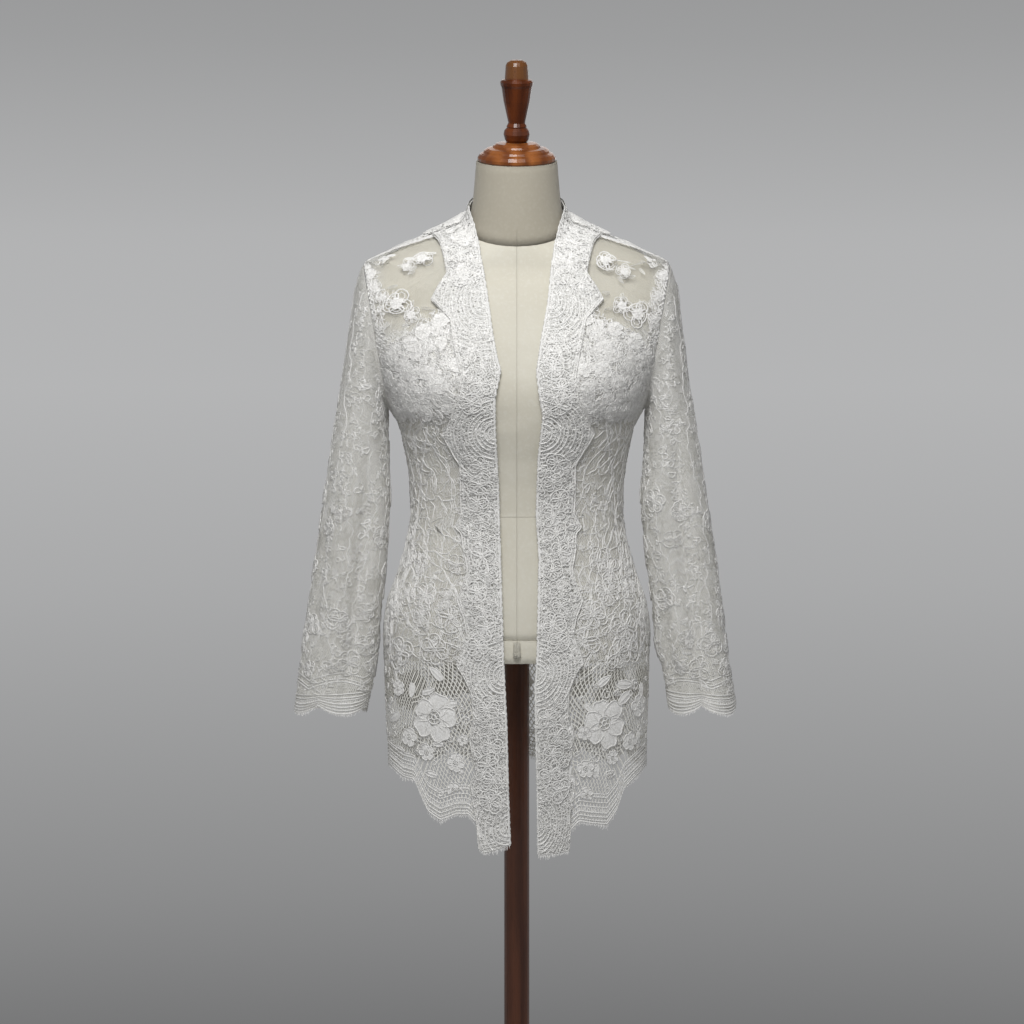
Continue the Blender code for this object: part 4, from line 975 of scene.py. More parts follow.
def net_finish(name, fine=0.0019):
    made, tree, feed = finish(name, Roughness=0.62, Sheen_Weight=0.2, Specular_IOR_Level=0.3)
    flat = node(tree, "ShaderNodeUVMap", {"uv_map": "flat"}, {})
    u, v = part_of(tree, flat, 0), part_of(tree, flat, 1)
    cover = node(tree, "ShaderNodeAttribute", {"attribute_name": "cover"}, {}, 2)
    coarse = node(tree, "ShaderNodeAttribute", {"attribute_name": "coarse"}, {}, 2)
    small = crossed(u, v, fine, cover * 0.0011 + 0.00018)
    large = crossed(u, v, 0.0043, 0.00115)
    closed = 1.0 - coarse
    ground = small * closed + large * coarse
    cells = node(tree, "ShaderNodeTexVoronoi", {"feature": "DISTANCE_TO_EDGE"},
                 {"Vector": flat, "Scale": 210.0, "Randomness": 0.95})
    worked = cells.step(0.04, 0.11, 1.0, 0.0) * cover.step(0.46, 0.66) * closed
    along = node(tree, "ShaderNodeMapping", {}, {"Vector": flat, "Scale": (1.0, 0.22, 1.0)})
    streaks = noise(tree, along, 420.0, 2.0).step(0.52, 0.60) * cover.step(0.25, 0.60) * closed
    patch = noise(tree, flat, 120.0, 2.0).step(0.56, 0.62) * cover.step(0.40, 0.8) * closed
    raised = worked.maths("MAXIMUM", streaks)
    feed("Alpha", ground.maths("MAXIMUM", raised).maths("MAXIMUM", patch))
    tone = noise(tree, flat, 45.0)
    shade = colours(tree, tone.step(0.35, 0.65), (0.93, 0.915, 0.855), (0.84, 0.825, 0.765))
    shade = colours(tree, raised * 0.8 + patch * 0.2, shade, (0.92, 0.91, 0.88))
    feed("Base Color", shade)
    feed("Normal", bump(tree, ground * 0.5 + raised + patch * 0.6, 0.0005))
    return made


def thread_finish():
    made, tree, feed = finish("raised_thread", Roughness=0.55, Sheen_Weight=0.2, Specular_IOR_Level=0.35)
    at = object_place(tree)
    fibres = noise(tree, at, 900.0, 2.0)
    twist = noise(tree, at, 420.0, 1.0)
    tone = colours(tree, twist.step(0.40, 0.60), (0.85, 0.84, 0.81), (0.96, 0.95, 0.93))
    feed("Base Color", tone)
    feed("Normal", bump(tree, fibres * 0.6 + twist, 0.0006, 0.8))
    return made


def border_finish():
    made, tree, feed = finish("border_ground", Roughness=0.60, Sheen_Weight=0.2, Specular_IOR_Level=0.3)
    flat = node(tree, "ShaderNodeUVMap", {"uv_map": "flat"}, {})
    cells = node(tree, "ShaderNodeTexVoronoi", {"feature": "DISTANCE_TO_EDGE"},
                 {"Vector": flat, "Scale": 240.0, "Randomness": 0.9})
    knots = node(tree, "ShaderNodeTexVoronoi", {"feature": "F1"}, {"Vector": flat, "Scale": 430.0})
    cords = cells.step(0.04, 0.20, 1.0, 0.0)
    knotted = knots.step(0.05, 0.45, 1.0, 0.0)
    open_share = noise(tree, flat, 60.0, 2.0).step(0.50, 0.62)
    feed("Alpha", 1.0 - cells.step(0.22, 0.30) * open_share * 0.9)
    # The ground between the cords is painted grey: painted shade for the shadowed holes among the threads. The cords
    # keep the thread's own white.
    tone = colours(tree, cords.maths("MAXIMUM", knotted * 0.7), (0.62, 0.61, 0.575), (0.93, 0.925, 0.90))
    feed("Base Color", tone)
    feed("Normal", bump(tree, cords + knotted * 0.5, 0.0010))
    return made


net, thread, border_ground = net_finish("fine_net"), thread_finish(), border_finish()
print("finishes:", net.name, thread.name, border_ground.name)

# %% [markdown]
# ## Where the lace is dense
#
# The chest above the bust is almost bare net, the bust is thick with flowers, and below the form's foot the
# net turns coarse. A short function of height gives the share of thread, with a soft change between zones.


# %% Zones
def ramp(value, low, high):
    k = np.clip((value - low) / (high - low), 0, 1)
    return k * k * (3 - 2 * k)


def cover_of(points):
    z, x = points[..., 2], np.abs(points[..., 0])
    chest = ramp(z, 1.275, 1.310) * (1 - ramp(x, 0.155, 0.185))
    bust = ramp(z, 1.185, 1.215) * (1 - ramp(z, 1.26, 1.29)) * ramp(-points[..., 1], 0.0, 0.02)
    return np.clip(0.46 + 0.30 * bust - 0.43 * chest, 0, 1)


def coarse_of(points):
    return 1 - ramp(points[..., 2], 0.868, 0.878)


def fringe(name, pattern, t, low, high, mirrored, seed, pitch=0.0013, length=(0.003, 0.0075)):
    """Eyelashes: short loose ends of thread along a cut edge."""
    rng = np.random.default_rng(seed)
    width = float(pattern.width_at(t))
    s = np.arange(low * width, high * width, pitch)
    s = s + rng.uniform(-0.3, 0.3, s.size) * pitch
    foot = pattern.place(s, np.full(s.size, t + 0.001), 0.0002)
    above = pattern.place(s, np.full(s.size, t + 0.006), 0.0002)
    aside = pattern.place(s + 0.001, np.full(s.size, t + 0.001), 0.0002)
    down, aside = unit(foot - above), unit(aside - foot)
    out = np.cross(aside, -down)
    reach = rng.uniform(*length, s.size)[:, None] * (0.75 + 0.25 * np.sin(s / 0.009)[:, None])
    sway = rng.uniform(-0.45, 0.45, (s.size, 1))
    lines = [foot + down * reach * k + aside * sway * reach * k**1.6 + out * 0.0006 * k for k in (0, 0.35, 0.7, 1.0)]
    lines = np.stack(lines, 1)
    half = (np.array([0.00042, 0.00036, 0.00028, 0.00014])[None, :, None]) * aside[:, None]
    points = np.stack([lines - half, lines + out[:, None] * 0.0004, lines + half], 2)
    first = (np.arange(s.size)[:, None] * 4 + np.arange(3)[None]) * 3
    faces = np.stack([np.stack([first + k, first + k + 3, first + k + 4, first + k + 1], -1) for k in (0, 1)], 2)
    return mesh_piece(name, points.reshape(-1, 3), faces.reshape(-1, 4), thread, mirrored)


def scattered(low, high, cell, seed, jitter=0.35):
    rng = np.random.default_rng(seed)
    grid = np.stack(np.meshgrid(np.arange(low[0], high[0], cell), np.arange(low[1], high[1], cell * 0.87)), -1)
    grid[1::2, :, 0] += cell / 2
    grid = grid.reshape(-1, 2)
    return grid + rng.uniform(-jitter, jitter, grid.shape) * cell, rng


def level_line(pattern, t, steps, inset=0.0, t_end=None):
    """A line across the whole pattern at height t."""
    share = np.linspace(0, 1, steps)
    ts = np.linspace(t, t if t_end is None else t_end, steps)
    width = pattern.width_at(ts)
    return np.stack([inset + share * (width - 2 * inset), ts], -1)


def upright_line(pattern, share, low, high, steps, inset=0.0):
    ts = np.linspace(low, high, steps)
    return np.stack([pattern.width_at(ts) * share + inset, ts], -1)


def ladder(motif, line, gap, every, width=0.0010):
    """Two cords side by side with short bars between them. gap is how far the second lies along t."""
    other = line + np.array([0.0, gap])
    motif.threads(line, 0.0016, 0.0009)
    motif.threads(other, 0.0013, 0.0008)
    count = max(2, int(np.linalg.norm(np.diff(line, axis=0), axis=1).sum() / every))
    at = np.linspace(0, len(line) - 1, count)
    foot = np.stack([np.interp(at, np.arange(len(line)), line[:, k]) for k in (0, 1)], -1)
    bars = np.stack([foot, foot + (0, gap * 0.5), foot + (0, gap)], 1)
    motif.threads(bars, width, 0.0006, taper=1.0)


pieces = {}

# %% [markdown]
# ## Fronts
#
# Each front gets its net, then one drawing: the web, long cords down the seams, sprays on the chest and bust,
# scrolls above the hip, and large flowers over the coarse net of the hem. The flowers that the eye knows are
# placed one by one, and the rest are scattered by a seeded draw so that each run is the same.

# %% Fronts
PICTURE = (517.0, 663.5, 0.86, 0.00127)  # column of the middle, row of a known height, that height, metres a pixel


def seen_at(pattern, side, column, row):
    """The s and t of a place given by its column and row in the front view."""
    x = (column - PICTURE[0]) * PICTURE[3] * (-1 if side == "left" else 1)
    return pattern.find(x, PICTURE[2] + (PICTURE[1] - row) * PICTURE[3])


SPRAY_PLACES = {  # column, row, radius in mm, layers
    "left": (
        (425, 262, 13), (408, 268, 9), (400, 306, 16), (415, 318, 11), (386, 300, 9), (440, 336, 14), (424, 352, 17),
        (446, 366, 15), (410, 372, 12), (432, 388, 14), (450, 396, 11), (384, 262, 8), (373, 276, 8), (378, 290, 8),
    ),
    "right": (
        (606, 264, 14), (622, 274, 10), (634, 316, 15), (620, 308, 11), (652, 322, 11), (592, 334, 14), (606, 350, 17),
        (586, 364, 15), (622, 368, 12), (600, 386, 14), (584, 396, 10), (650, 264, 8), (660, 278, 8), (655, 298, 8),
    ),
}
CHEST_ROW = 330  # above this row the flowers stand alone on the bare net
HEM_FLOWERS = {  # kind, column, row, size
    "left": (
        ("big", 438, 709, 1.0), ("small", 457, 750, 1.05), ("small", 455, 778, 0.85), ("small", 412, 729, 1.0),
        ("small", 402, 682, 0.95), ("small", 431, 744, 0.9), ("small", 466, 727, 0.6), ("leaf", 416, 674, 1.2),
        ("leaf", 447, 674, 1.4), ("leaf", 461, 694, 1.2), ("leaf", 405, 705, 1.3), ("leaf", 424, 686, 1.1),
        ("leaf", 441, 765, 1.1), ("leaf", 465, 764, 1.0), ("leaf", 399, 740, 0.9), ("leaf", 448, 733, 1.0),
    ),
    "right": (
        ("big", 601, 714, 1.0), ("small", 583, 722, 0.8), ("small", 583, 757, 1.0), ("small", 626, 735, 1.0),
        ("small", 637, 700, 1.2), ("small", 583, 784, 0.75), ("small", 609, 748, 0.8), ("leaf", 594, 680, 1.3),
        ("leaf", 612, 677, 1.4), ("leaf", 628, 684, 1.3), ("leaf", 581, 695, 1.1), ("leaf", 622, 758, 1.1),
        ("leaf", 596, 770, 1.0), ("leaf", 636, 724, 1.0), ("leaf", 640, 676, 1.0), ("leaf", 600, 742, 0.9),
    ),
}


def hem_height_at(pattern, side):
    """Height of the hem in t over s, on the level pattern."""
    step = HEM[side][5 if side == "left" else 4][0]
    feet = pattern.points[20, :, 0]
    low = straight(HEM[side], np.maximum(feet, step))
    return pattern.flat_s[20], np.interp(low, pattern.points[:150, 28, 2], pattern.up[:150])


for side in ("left", "right"):
    seed, mirrored = (11 if side == "left" else 23), side == "left"
    level, following, border = patterns["level", side], patterns["net", side], patterns["border", side]
    hem_s, hem_t = hem_height_at(level, side)
    hip_t = float(np.interp(HIP_Z, level.points[:150, 28, 2], level.up[:150]))
    foot_t = float(np.interp(FORM_BOTTOM_Z, level.points[:150, 28, 2], level.up[:150]))
    bust_t = float(np.interp(1.185, level.points[:152, 28, 2], level.up[:152]))
    chest_t = level.find(0.11, 1.300)[1]
    top_t = level.up[-1]
    wide = float(level.width.max())

    ground = net_piece(f"front_{side}_net", following, net, mirrored, cover_of(following.points),
                       coarse_of(following.points))
    drawing = Motif()
    rng = np.random.default_rng(seed)
    # Veins of the middle and of the skirt above the coarse net
    lines = web((0, foot_t + 0.012), (wide, bust_t + 0.03), 0.0170, 1.35, seed, 5)
    keep = rng.uniform(size=len(lines))
    drawing.threads(lines[keep < 0.85], 0.0013, 0.0011)
    drawing.threads(lines[keep < 0.50] + (0.0024, 0.0006), 0.0010, 0.0008)
    lines = web((0, foot_t + 0.012), (wide, bust_t + 0.03), 0.0090, 1.4, seed + 40, 4)
    drawing.threads(lines[rng.uniform(size=len(lines)) < 0.75], 0.0007, 0.0005)
    # Long wandering stems
    for k in range(4):
        start = wide * (k + 0.5) / 4
        ts = np.linspace(foot_t, bust_t + 0.02, 60)
        stem = np.stack([start + 0.010 * np.sin(ts * 38 + k * 2.1) + (ts - foot_t) * 0.03 * math.cos(k * 2.4), ts], -1)
        drawing.threads(drift(stem, 0.05, 0.004, seed + k), 0.0012, 0.0009)
    # Scrolls above the hip, scribbles all over and the crowded lace of the bust
    places, rng = scattered((0.010, foot_t + 0.020), (wide, foot_t + 0.120), 0.038, seed + 5, 0.3)
    for s, t in places:
        drawing.stamp(FINE_CORDED[int(rng.integers(4))], s, t, rng.uniform(1.0, 1.6), rng.uniform(0, 6.28), 0.0003, level)
    places, rng = scattered((0.004, foot_t + 0.010), (wide, bust_t), 0.0110, seed + 6)
    for s, t in places:
        low = 1 - ramp(t, foot_t + 0.06, foot_t + 0.15)
        if rng.uniform() < 0.16 + 0.34 * low:
            kind = FINE_SCRIBBLES if rng.uniform() < 0.6 else SCRIBBLES
            drawing.stamp(kind[int(rng.integers(10))], s, t, rng.uniform(0.8, 1.3), rng.uniform(0, 6.28), 0.0001, level)
    places, rng = scattered((0.003, bust_t - 0.012), (wide * 0.72, chest_t), 0.0082, seed + 7)
    for s, t in places:
        if rng.uniform() < 0.66 - 0.3 * ramp(s, 0.090, 0.150):
            motif = SCRIBBLES[int(rng.integers(10))]
            drawing.stamp(motif, s, t, rng.uniform(0.8, 1.2), rng.uniform(0, 6.28), 0.0003, level)
    places, rng = scattered((0.008, bust_t - 0.010), (0.125, chest_t - 0.006), 0.0195, seed + 8, 0.25)
    for s, t in places:
        drawing.stamp(CORDED[int(rng.integers(4))], s, t, rng.uniform(0.7, 1.0), rng.uniform(0, 6.28), 0.0007, level)
    places, rng = scattered((0.012, bust_t - 0.004), (0.105, chest_t - 0.010), 0.0280, seed + 10, 0.30)
    for s, t in places:
        drawing.stamp(BLOSSOMS[int(rng.integers(3))], s, t, rng.uniform(0.55, 0.85), rng.uniform(0, 6.28), 0.0006, level)
    for index, (column, row, radius) in enumerate(SPRAY_PLACES[side]):
        s, t = seen_at(level, side, column, row)
        if row < CHEST_ROW:
            drawing.stamp(CORDED[index % 4], s, t, radius / 12.0, rng.uniform(0, 6.28), 0.0004, level)
            drawing.stamp(BLOSSOMS[index % 3], s, t, radius / 26.0, rng.uniform(0, 6.28), 0.0007, level)
            for turn in rng.uniform(0, 6.28, 3):
                reach = radius * 1.2 / 1000
                aside, above = reach * math.cos(turn), reach * math.sin(turn)
                drawing.stamp(LEAVES[2], s + aside, t + above, 0.45, turn, 0.0002, level)
            continue
        drawing.stamp(SPRAYS[index % 4], s, t, radius / 17.0, rng.uniform(0, 6.28), 0.0004, level)
        for _ in range(4):
            aside, above = rng.uniform(-0.9, 0.9, 2) * radius / 1000
            drawing.stamp(SCRIBBLES[int(rng.integers(10))], s + aside, t + above, 1.0, rng.uniform(0, 6.28), 0.0008, level)
    # Scribbled cords along the armhole and the shoulder
    for s_share, low, high in ((0.985, bust_t, top_t - 0.004), (0.955, bust_t, top_t - 0.010)):
        line = upright_line(level, s_share, low, high, 120)
        line[:, 0] += 0.0016 * np.sin(line[:, 1] * 900 + s_share * 50)
        drawing.threads(line, 0.0014, 0.0010)
    for index in range(44):
        t = bust_t + (top_t - bust_t) * (index + 0.5) / 44
        for inset in (0.94, 0.87):
            s = float(level.width_at(t)) * (inset - 0.03 * (index % 2))
            drawing.stamp(SCRIBBLES[(index * 3) % 10], s, t, 0.9, rng.uniform(0, 6.28), 0.0003, level)
    drawing.threads(level_line(level, top_t - 0.0016, 80), 0.0024, 0.0018)
    for index in range(24):
        s = float(level.width_at(top_t)) * (index + 0.5) / 24
        drawing.stamp(SCRIBBLES[index % 10], s, top_t - 0.005, 0.8, rng.uniform(0, 6.28), 0.0003, level)
    # Seam between front and side front
    rows = np.linspace(int(np.searchsorted(level.up, foot_t)), 149 + 47, 150).astype(int)
    seam = np.stack([np.clip(level.seam[rows], 0, 1) * level.width[rows], level.up[rows]], -1)
    drawing.threads(seam, 0.0018, 0.0008)
    # Flowers and leaves of the hem
    for kind, column, row, size in HEM_FLOWERS[side]:
        s, t = seen_at(level, side, column, row)
        motif = {"big": BIG_FLOWERS, "small": SMALL_FLOWERS, "leaf": LEAVES}[kind][int(rng.integers(2))]
        drawing.stamp(motif, s, t, size, rng.uniform(0, 6.28), 0.0004 if kind != "leaf" else 0.0001, level)
    places, rng = scattered((0.004, 0.02), (wide, foot_t), 0.0150, seed + 9)
    for s, t in places:
        kind = CURLS if rng.uniform() < 0.7 else BUDS
        if rng.uniform() < 0.42:
            drawing.stamp(kind[int(rng.integers(3))], s, t, rng.uniform(0.6, 1.0), rng.uniform(0, 6.28), 0.0001, level)

    def above_hem(s, t):
        return t > np.interp(s, hem_s, hem_t) + 0.030

    raised = lay(f"front_{side}_flowers", drawing, level, thread, mirrored, above_hem)
    # Border of the hem: two cords with bars, then the scalloped edge
    edging = Motif()
    ladder(edging, level_line(following, 0.0300, 130), 0.0035, 0.0030)
    edging.threads(level_line(following, 0.0240, 130), 0.0013, 0.0008)
    ladder(edging, level_line(following, 0.0130, 130), 0.0060, 0.0028, 0.0013)
    edging.threads(level_line(following, 0.0085, 130), 0.0016, 0.0010)
    edging.threads(level_line(following, 0.0045, 130), 0.0013, 0.0008)
    edging.threads(level_line(following, 0.0016, 130), 0.0020, 0.0012)
    hem_lace = lay(f"front_{side}_hem", edging, following, thread, mirrored)
    lashes = fringe(f"front_{side}_fringe", following, 0.0, 0.04, 0.995, mirrored, seed)
    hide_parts(f"front_{side}", f"side_front_{side}")
    pieces["front", side] = (ground, [raised, hem_lace, lashes])

# %% [markdown]
# ## Borders
#
# The border is the showpiece. Its ground is almost closed. Where the inner edge swings out to a point, cords
# run round that point in rings with small bars between them. Rosettes fill the stretches between. Rings that
# are drawn as ovals about the middle of the opening edge keep their distance from each other at every size.

# %% Borders
POINTS_UP = (0.672, 0.857, 1.154, 1.318)  # heights of the large points with rings round them

for side in ("left", "right"):
    mirrored, seed = side == "left", (31 if side == "left" else 43)
    border = patterns["border", side]
    rng = np.random.default_rng(seed)
    rows = border.points.shape[0]
    outer = 0.0010 * np.abs(np.sin(border.up / 0.0085 * math.pi))  # small scallops of the opening edge
    fade = (1 - np.linspace(0, 1, border.points.shape[1]) / 0.12).clip(0, 1)
    border.points[:, :, 0] -= outer[:, None] * fade[None]
    ground = net_piece(f"band_{side}_ground", border, border_ground, mirrored, 1.0, 0.0)
    drawing = Motif()
    top = border.up[-1]
    middle_t = [border.find(straight(OPENING[side], z) + 0.004, z)[1] for z in POINTS_UP]
    for t0 in middle_t:
        for ring, reach in enumerate(np.arange(0.008, 0.068, 0.0048)):
            angle = np.linspace(-math.pi / 2, math.pi / 2, 34)
            line = np.stack([np.cos(angle) * reach, t0 + np.sin(angle) * reach * 1.05], -1)
            drawing.threads(line, 0.0021 if ring % 2 else 0.0015, 0.0017 if ring % 2 else 0.0012)
            if ring % 3 == 1:
                bars = np.linspace(-1.5, 1.5, max(3, int(reach * math.pi / 0.0038)))
                foot = np.stack([np.cos(bars), np.sin(bars) * 1.05], -1)
                ends = np.stack([foot * (reach + 0.0008), foot * (reach + 0.0042)], 1) + (0, t0)
                drawing.threads(ends, 0.0012, 0.0010, taper=1.0)
    t = 0.030
    index = 0
    while t < top - 0.02:
        near = min(abs(t - t0) for t0 in middle_t)
        width = float(border.width_at(t))
        if near > 0.034:
            share = 0.46 + 0.10 * math.sin(index * 2.3)
            motif = CORDED[index % 4]
            drawing.stamp(motif, width * share, t, rng.uniform(0.95, 1.25), rng.uniform(0, 6.28), 0.0010, border)
            for off in (-0.33, 0.36):
                aside, above = width * (share + off), t + 0.011 * (1 if off > 0 else -1)
                drawing.stamp(BUDS[index % 3], aside, above, 1.0, rng.uniform(0, 6.28), 0.0008, border)
            t += 0.0225
        else:
            t += 0.008
        index += 1
    places, rng = scattered((0.004, 0.004), (0.066, top), 0.0066, seed + 3)
    for s, t in places:
        near = min(math.hypot(s, t - t0) for t0 in middle_t)
        if rng.uniform() < (0.78 if near > 0.036 else 0.22) and s < float(border.width_at(t)) - 0.004:
            motif = SCRIBBLES[int(rng.integers(10))]
            drawing.stamp(motif, s, t, rng.uniform(0.65, 0.95), rng.uniform(0, 6.28), 0.0003, border)
    steps = 420
    wavy = upright_line(border, 0.0, 0.001, top - 0.001, steps, 0.0016)
    drawing.threads(wavy, 0.0020, 0.0012)
    wavy = upright_line(border, 0.0, 0.001, top - 0.001, steps, 0.0048)
    wavy[:, 0] += 0.0008 * np.sin(wavy[:, 1] / 0.0085 * 2 * math.pi)
    drawing.threads(wavy, 0.0013, 0.0009)
    drawing.threads(upright_line(border, 1.0, 0.001, top - 0.001, steps, -0.0014), 0.0020, 0.0013)
    drawing.threads(upright_line(border, 1.0, 0.001, top - 0.001, steps, -0.0050), 0.0014, 0.0010)
    ts = np.arange(0.002, top - 0.002, 0.0034)
    inner = border.width_at(ts)
    drawing.threads(np.stack([np.stack([inner - 0.0014, ts], -1), np.stack([inner - 0.0050, ts], -1)], 1), 0.0010, 0.0006)
    for t in (0.0016, 0.0060, 0.0105):
        drawing.threads(level_line(border, t, 40), 0.0015, 0.0010)
    raised = lay(f"band_{side}_flowers", drawing, border, thread, mirrored)
    lashes = fringe(f"band_{side}_fringe", border, 0.0, 0.02, 0.98, mirrored, seed)
    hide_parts(f"band_{side}")
    pieces["band", side] = (ground, [raised, lashes])

# %% [markdown]
# ## Back and collar
#
# The back repeats the front: web, scattered sprays, a coarse hem with a row of flowers, and the border along
# its scallops. Nothing of it shows in the photograph, so it follows what the fronts do. The border of the
# fronts goes on round the neck as a low collar.

# %% Back
back, back_level = patterns["back net"], patterns["back"]
seed = 61
rng = np.random.default_rng(seed)
foot_t = float(np.interp(FORM_BOTTOM_Z, back_level.points[:, 48, 2], back_level.up))
chest_t = float(np.interp(1.30, back_level.points[:, 48, 2], back_level.up))
top_t, wide = back_level.up[-1], float(back_level.width.max())
ground = net_piece("back_net", back, net, False, cover_of(back.points) * 0.95, coarse_of(back.points))
drawing = Motif()


def from_middle(paths, pattern):
    """Lines drawn about the middle of the pattern, put at their true s."""
    paths = np.asarray(paths, float).copy()
    paths[..., 0] += pattern.width_at(paths[..., 1]) / 2
    return paths


lines = web((-wide / 2, foot_t), (wide / 2, chest_t), 0.0140, 1.8, seed, 4)
keep = rng.uniform(size=len(lines))
drawing.threads(from_middle(lines[keep < 0.30], back_level), 0.0014, 0.0010)
drawing.threads(from_middle(lines[(keep >= 0.30) & (keep < 0.80)], back_level), 0.0009, 0.0007)
places, rng = scattered((-wide / 2, foot_t), (wide / 2, top_t), 0.0150, seed + 1)
for s, t in places:
    if rng.uniform() < 0.50:
        motif = (FINE_SCRIBBLES if rng.uniform() < 0.5 else SCRIBBLES)[int(rng.integers(10))]
        s = s + float(back_level.width_at(t)) / 2
        drawing.stamp(motif, s, t, rng.uniform(0.9, 1.3), rng.uniform(0, 6.28), 0.0002, back_level)
places, rng = scattered((-wide / 2, foot_t + 0.012), (wide / 2, top_t), 0.050, seed + 2)
for s, t in places:
    motif = (SPRAYS if rng.uniform() < 0.35 else CORDED)[int(rng.integers(4))]
    s = s + float(back_level.width_at(t)) / 2
    drawing.stamp(motif, s, t, rng.uniform(0.85, 1.2), rng.uniform(0, 6.28), 0.0004, back_level)
for index in range(7):
    s, t = wide * (index + 0.5) / 7, foot_t - 0.042 - 0.010 * (index % 2)
    drawing.stamp(BIG_FLOWERS[index % 2], s, t, 0.85, rng.uniform(0, 6.28), 0.0004, back_level)
    drawing.stamp(LEAVES[index % 2], s + 0.026, t + 0.024, 1.3, rng.uniform(0, 6.28), 0.0002, back_level)
    drawing.stamp(SMALL_FLOWERS[index % 3], s + 0.027, t - 0.012, 0.9, rng.uniform(0, 6.28), 0.0003, back_level)
low_heights = back_hem(np.linspace(1, -1, 97))
hem_t = np.interp(low_heights, back_level.points[:, 48, 2], back_level.up)
raised = lay("back_flowers", drawing, back_level, thread, False,
             lambda s, t: t > np.interp(s, back_level.flat_s[5], hem_t) + 0.030)
edging = Motif()
ladder(edging, level_line(back, 0.0300, 260), 0.0035, 0.0032)
edging.threads(level_line(back, 0.0240, 260), 0.0013, 0.0008)
ladder(edging, level_line(back, 0.0130, 260), 0.0060, 0.0030, 0.0013)
for t, width in ((0.0085, 0.0016), (0.0045, 0.0013), (0.0016, 0.0020)):
    edging.threads(level_line(back, t, 260), width, 0.0010)
for share, inset in ((0.0, 0.0012), (1.0, -0.0012)):
    edging.threads(upright_line(back, share, 0.002, top_t - 0.002, 260, inset), 0.0018, 0.0009)
edging.threads(level_line(back, back.up[-1] - 0.0012, 200), 0.0018, 0.0010)
hem_lace = lay("back_hem", edging, back, thread)
lashes = fringe("back_fringe", back, 0.0, 0.005, 0.995, False, seed)
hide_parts("back")
pieces["back", ""] = (ground, [raised, hem_lace, lashes])

# %% Collar
across = np.linspace(1, -1, 97)
scallop = np.sin(np.pi * (((1 - across) / 2 * 5) % 1.0))
low_edge = 1.404 - 0.009 * (0.45 + 0.5 * scallop)
collar = back_pattern(PANEL_WALL + 1.6 * BAND_LIFT + 0.0004, False, np.linspace(1.3945, 1.442, 22), 97, low_edge)
ground = net_piece("collar_ground", collar, border_ground, False, 1.0, 0.0)
drawing = Motif()
rng = np.random.default_rng(71)
wide = float(collar.width.max())
for index in range(20):
    t = collar.up[-1] * 0.52
    s = float(collar.width_at(t)) * (index + 0.5) / 20
    drawing.stamp(CORDED[index % 4], s, t, 0.85, rng.uniform(0, 6.28), 0.0008, collar)
places, rng = scattered((0.003, 0.004), (wide, collar.up[-1]), 0.0075, 72)
for s, t in places:
    motif = SCRIBBLES[int(rng.integers(10))]
    drawing.stamp(motif, s * float(collar.width_at(t)) / wide, t, 0.85, rng.uniform(0, 6.28), 0.0003, collar)
for t in (0.0020, 0.0055, collar.up[-1] - 0.0020, collar.up[-1] - 0.0055):
    drawing.threads(level_line(collar, t, 240), 0.0018, 0.0011)
raised = lay("collar_flowers", drawing, collar, thread)
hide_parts("collar_back")
pieces["collar", ""] = (ground, [raised])
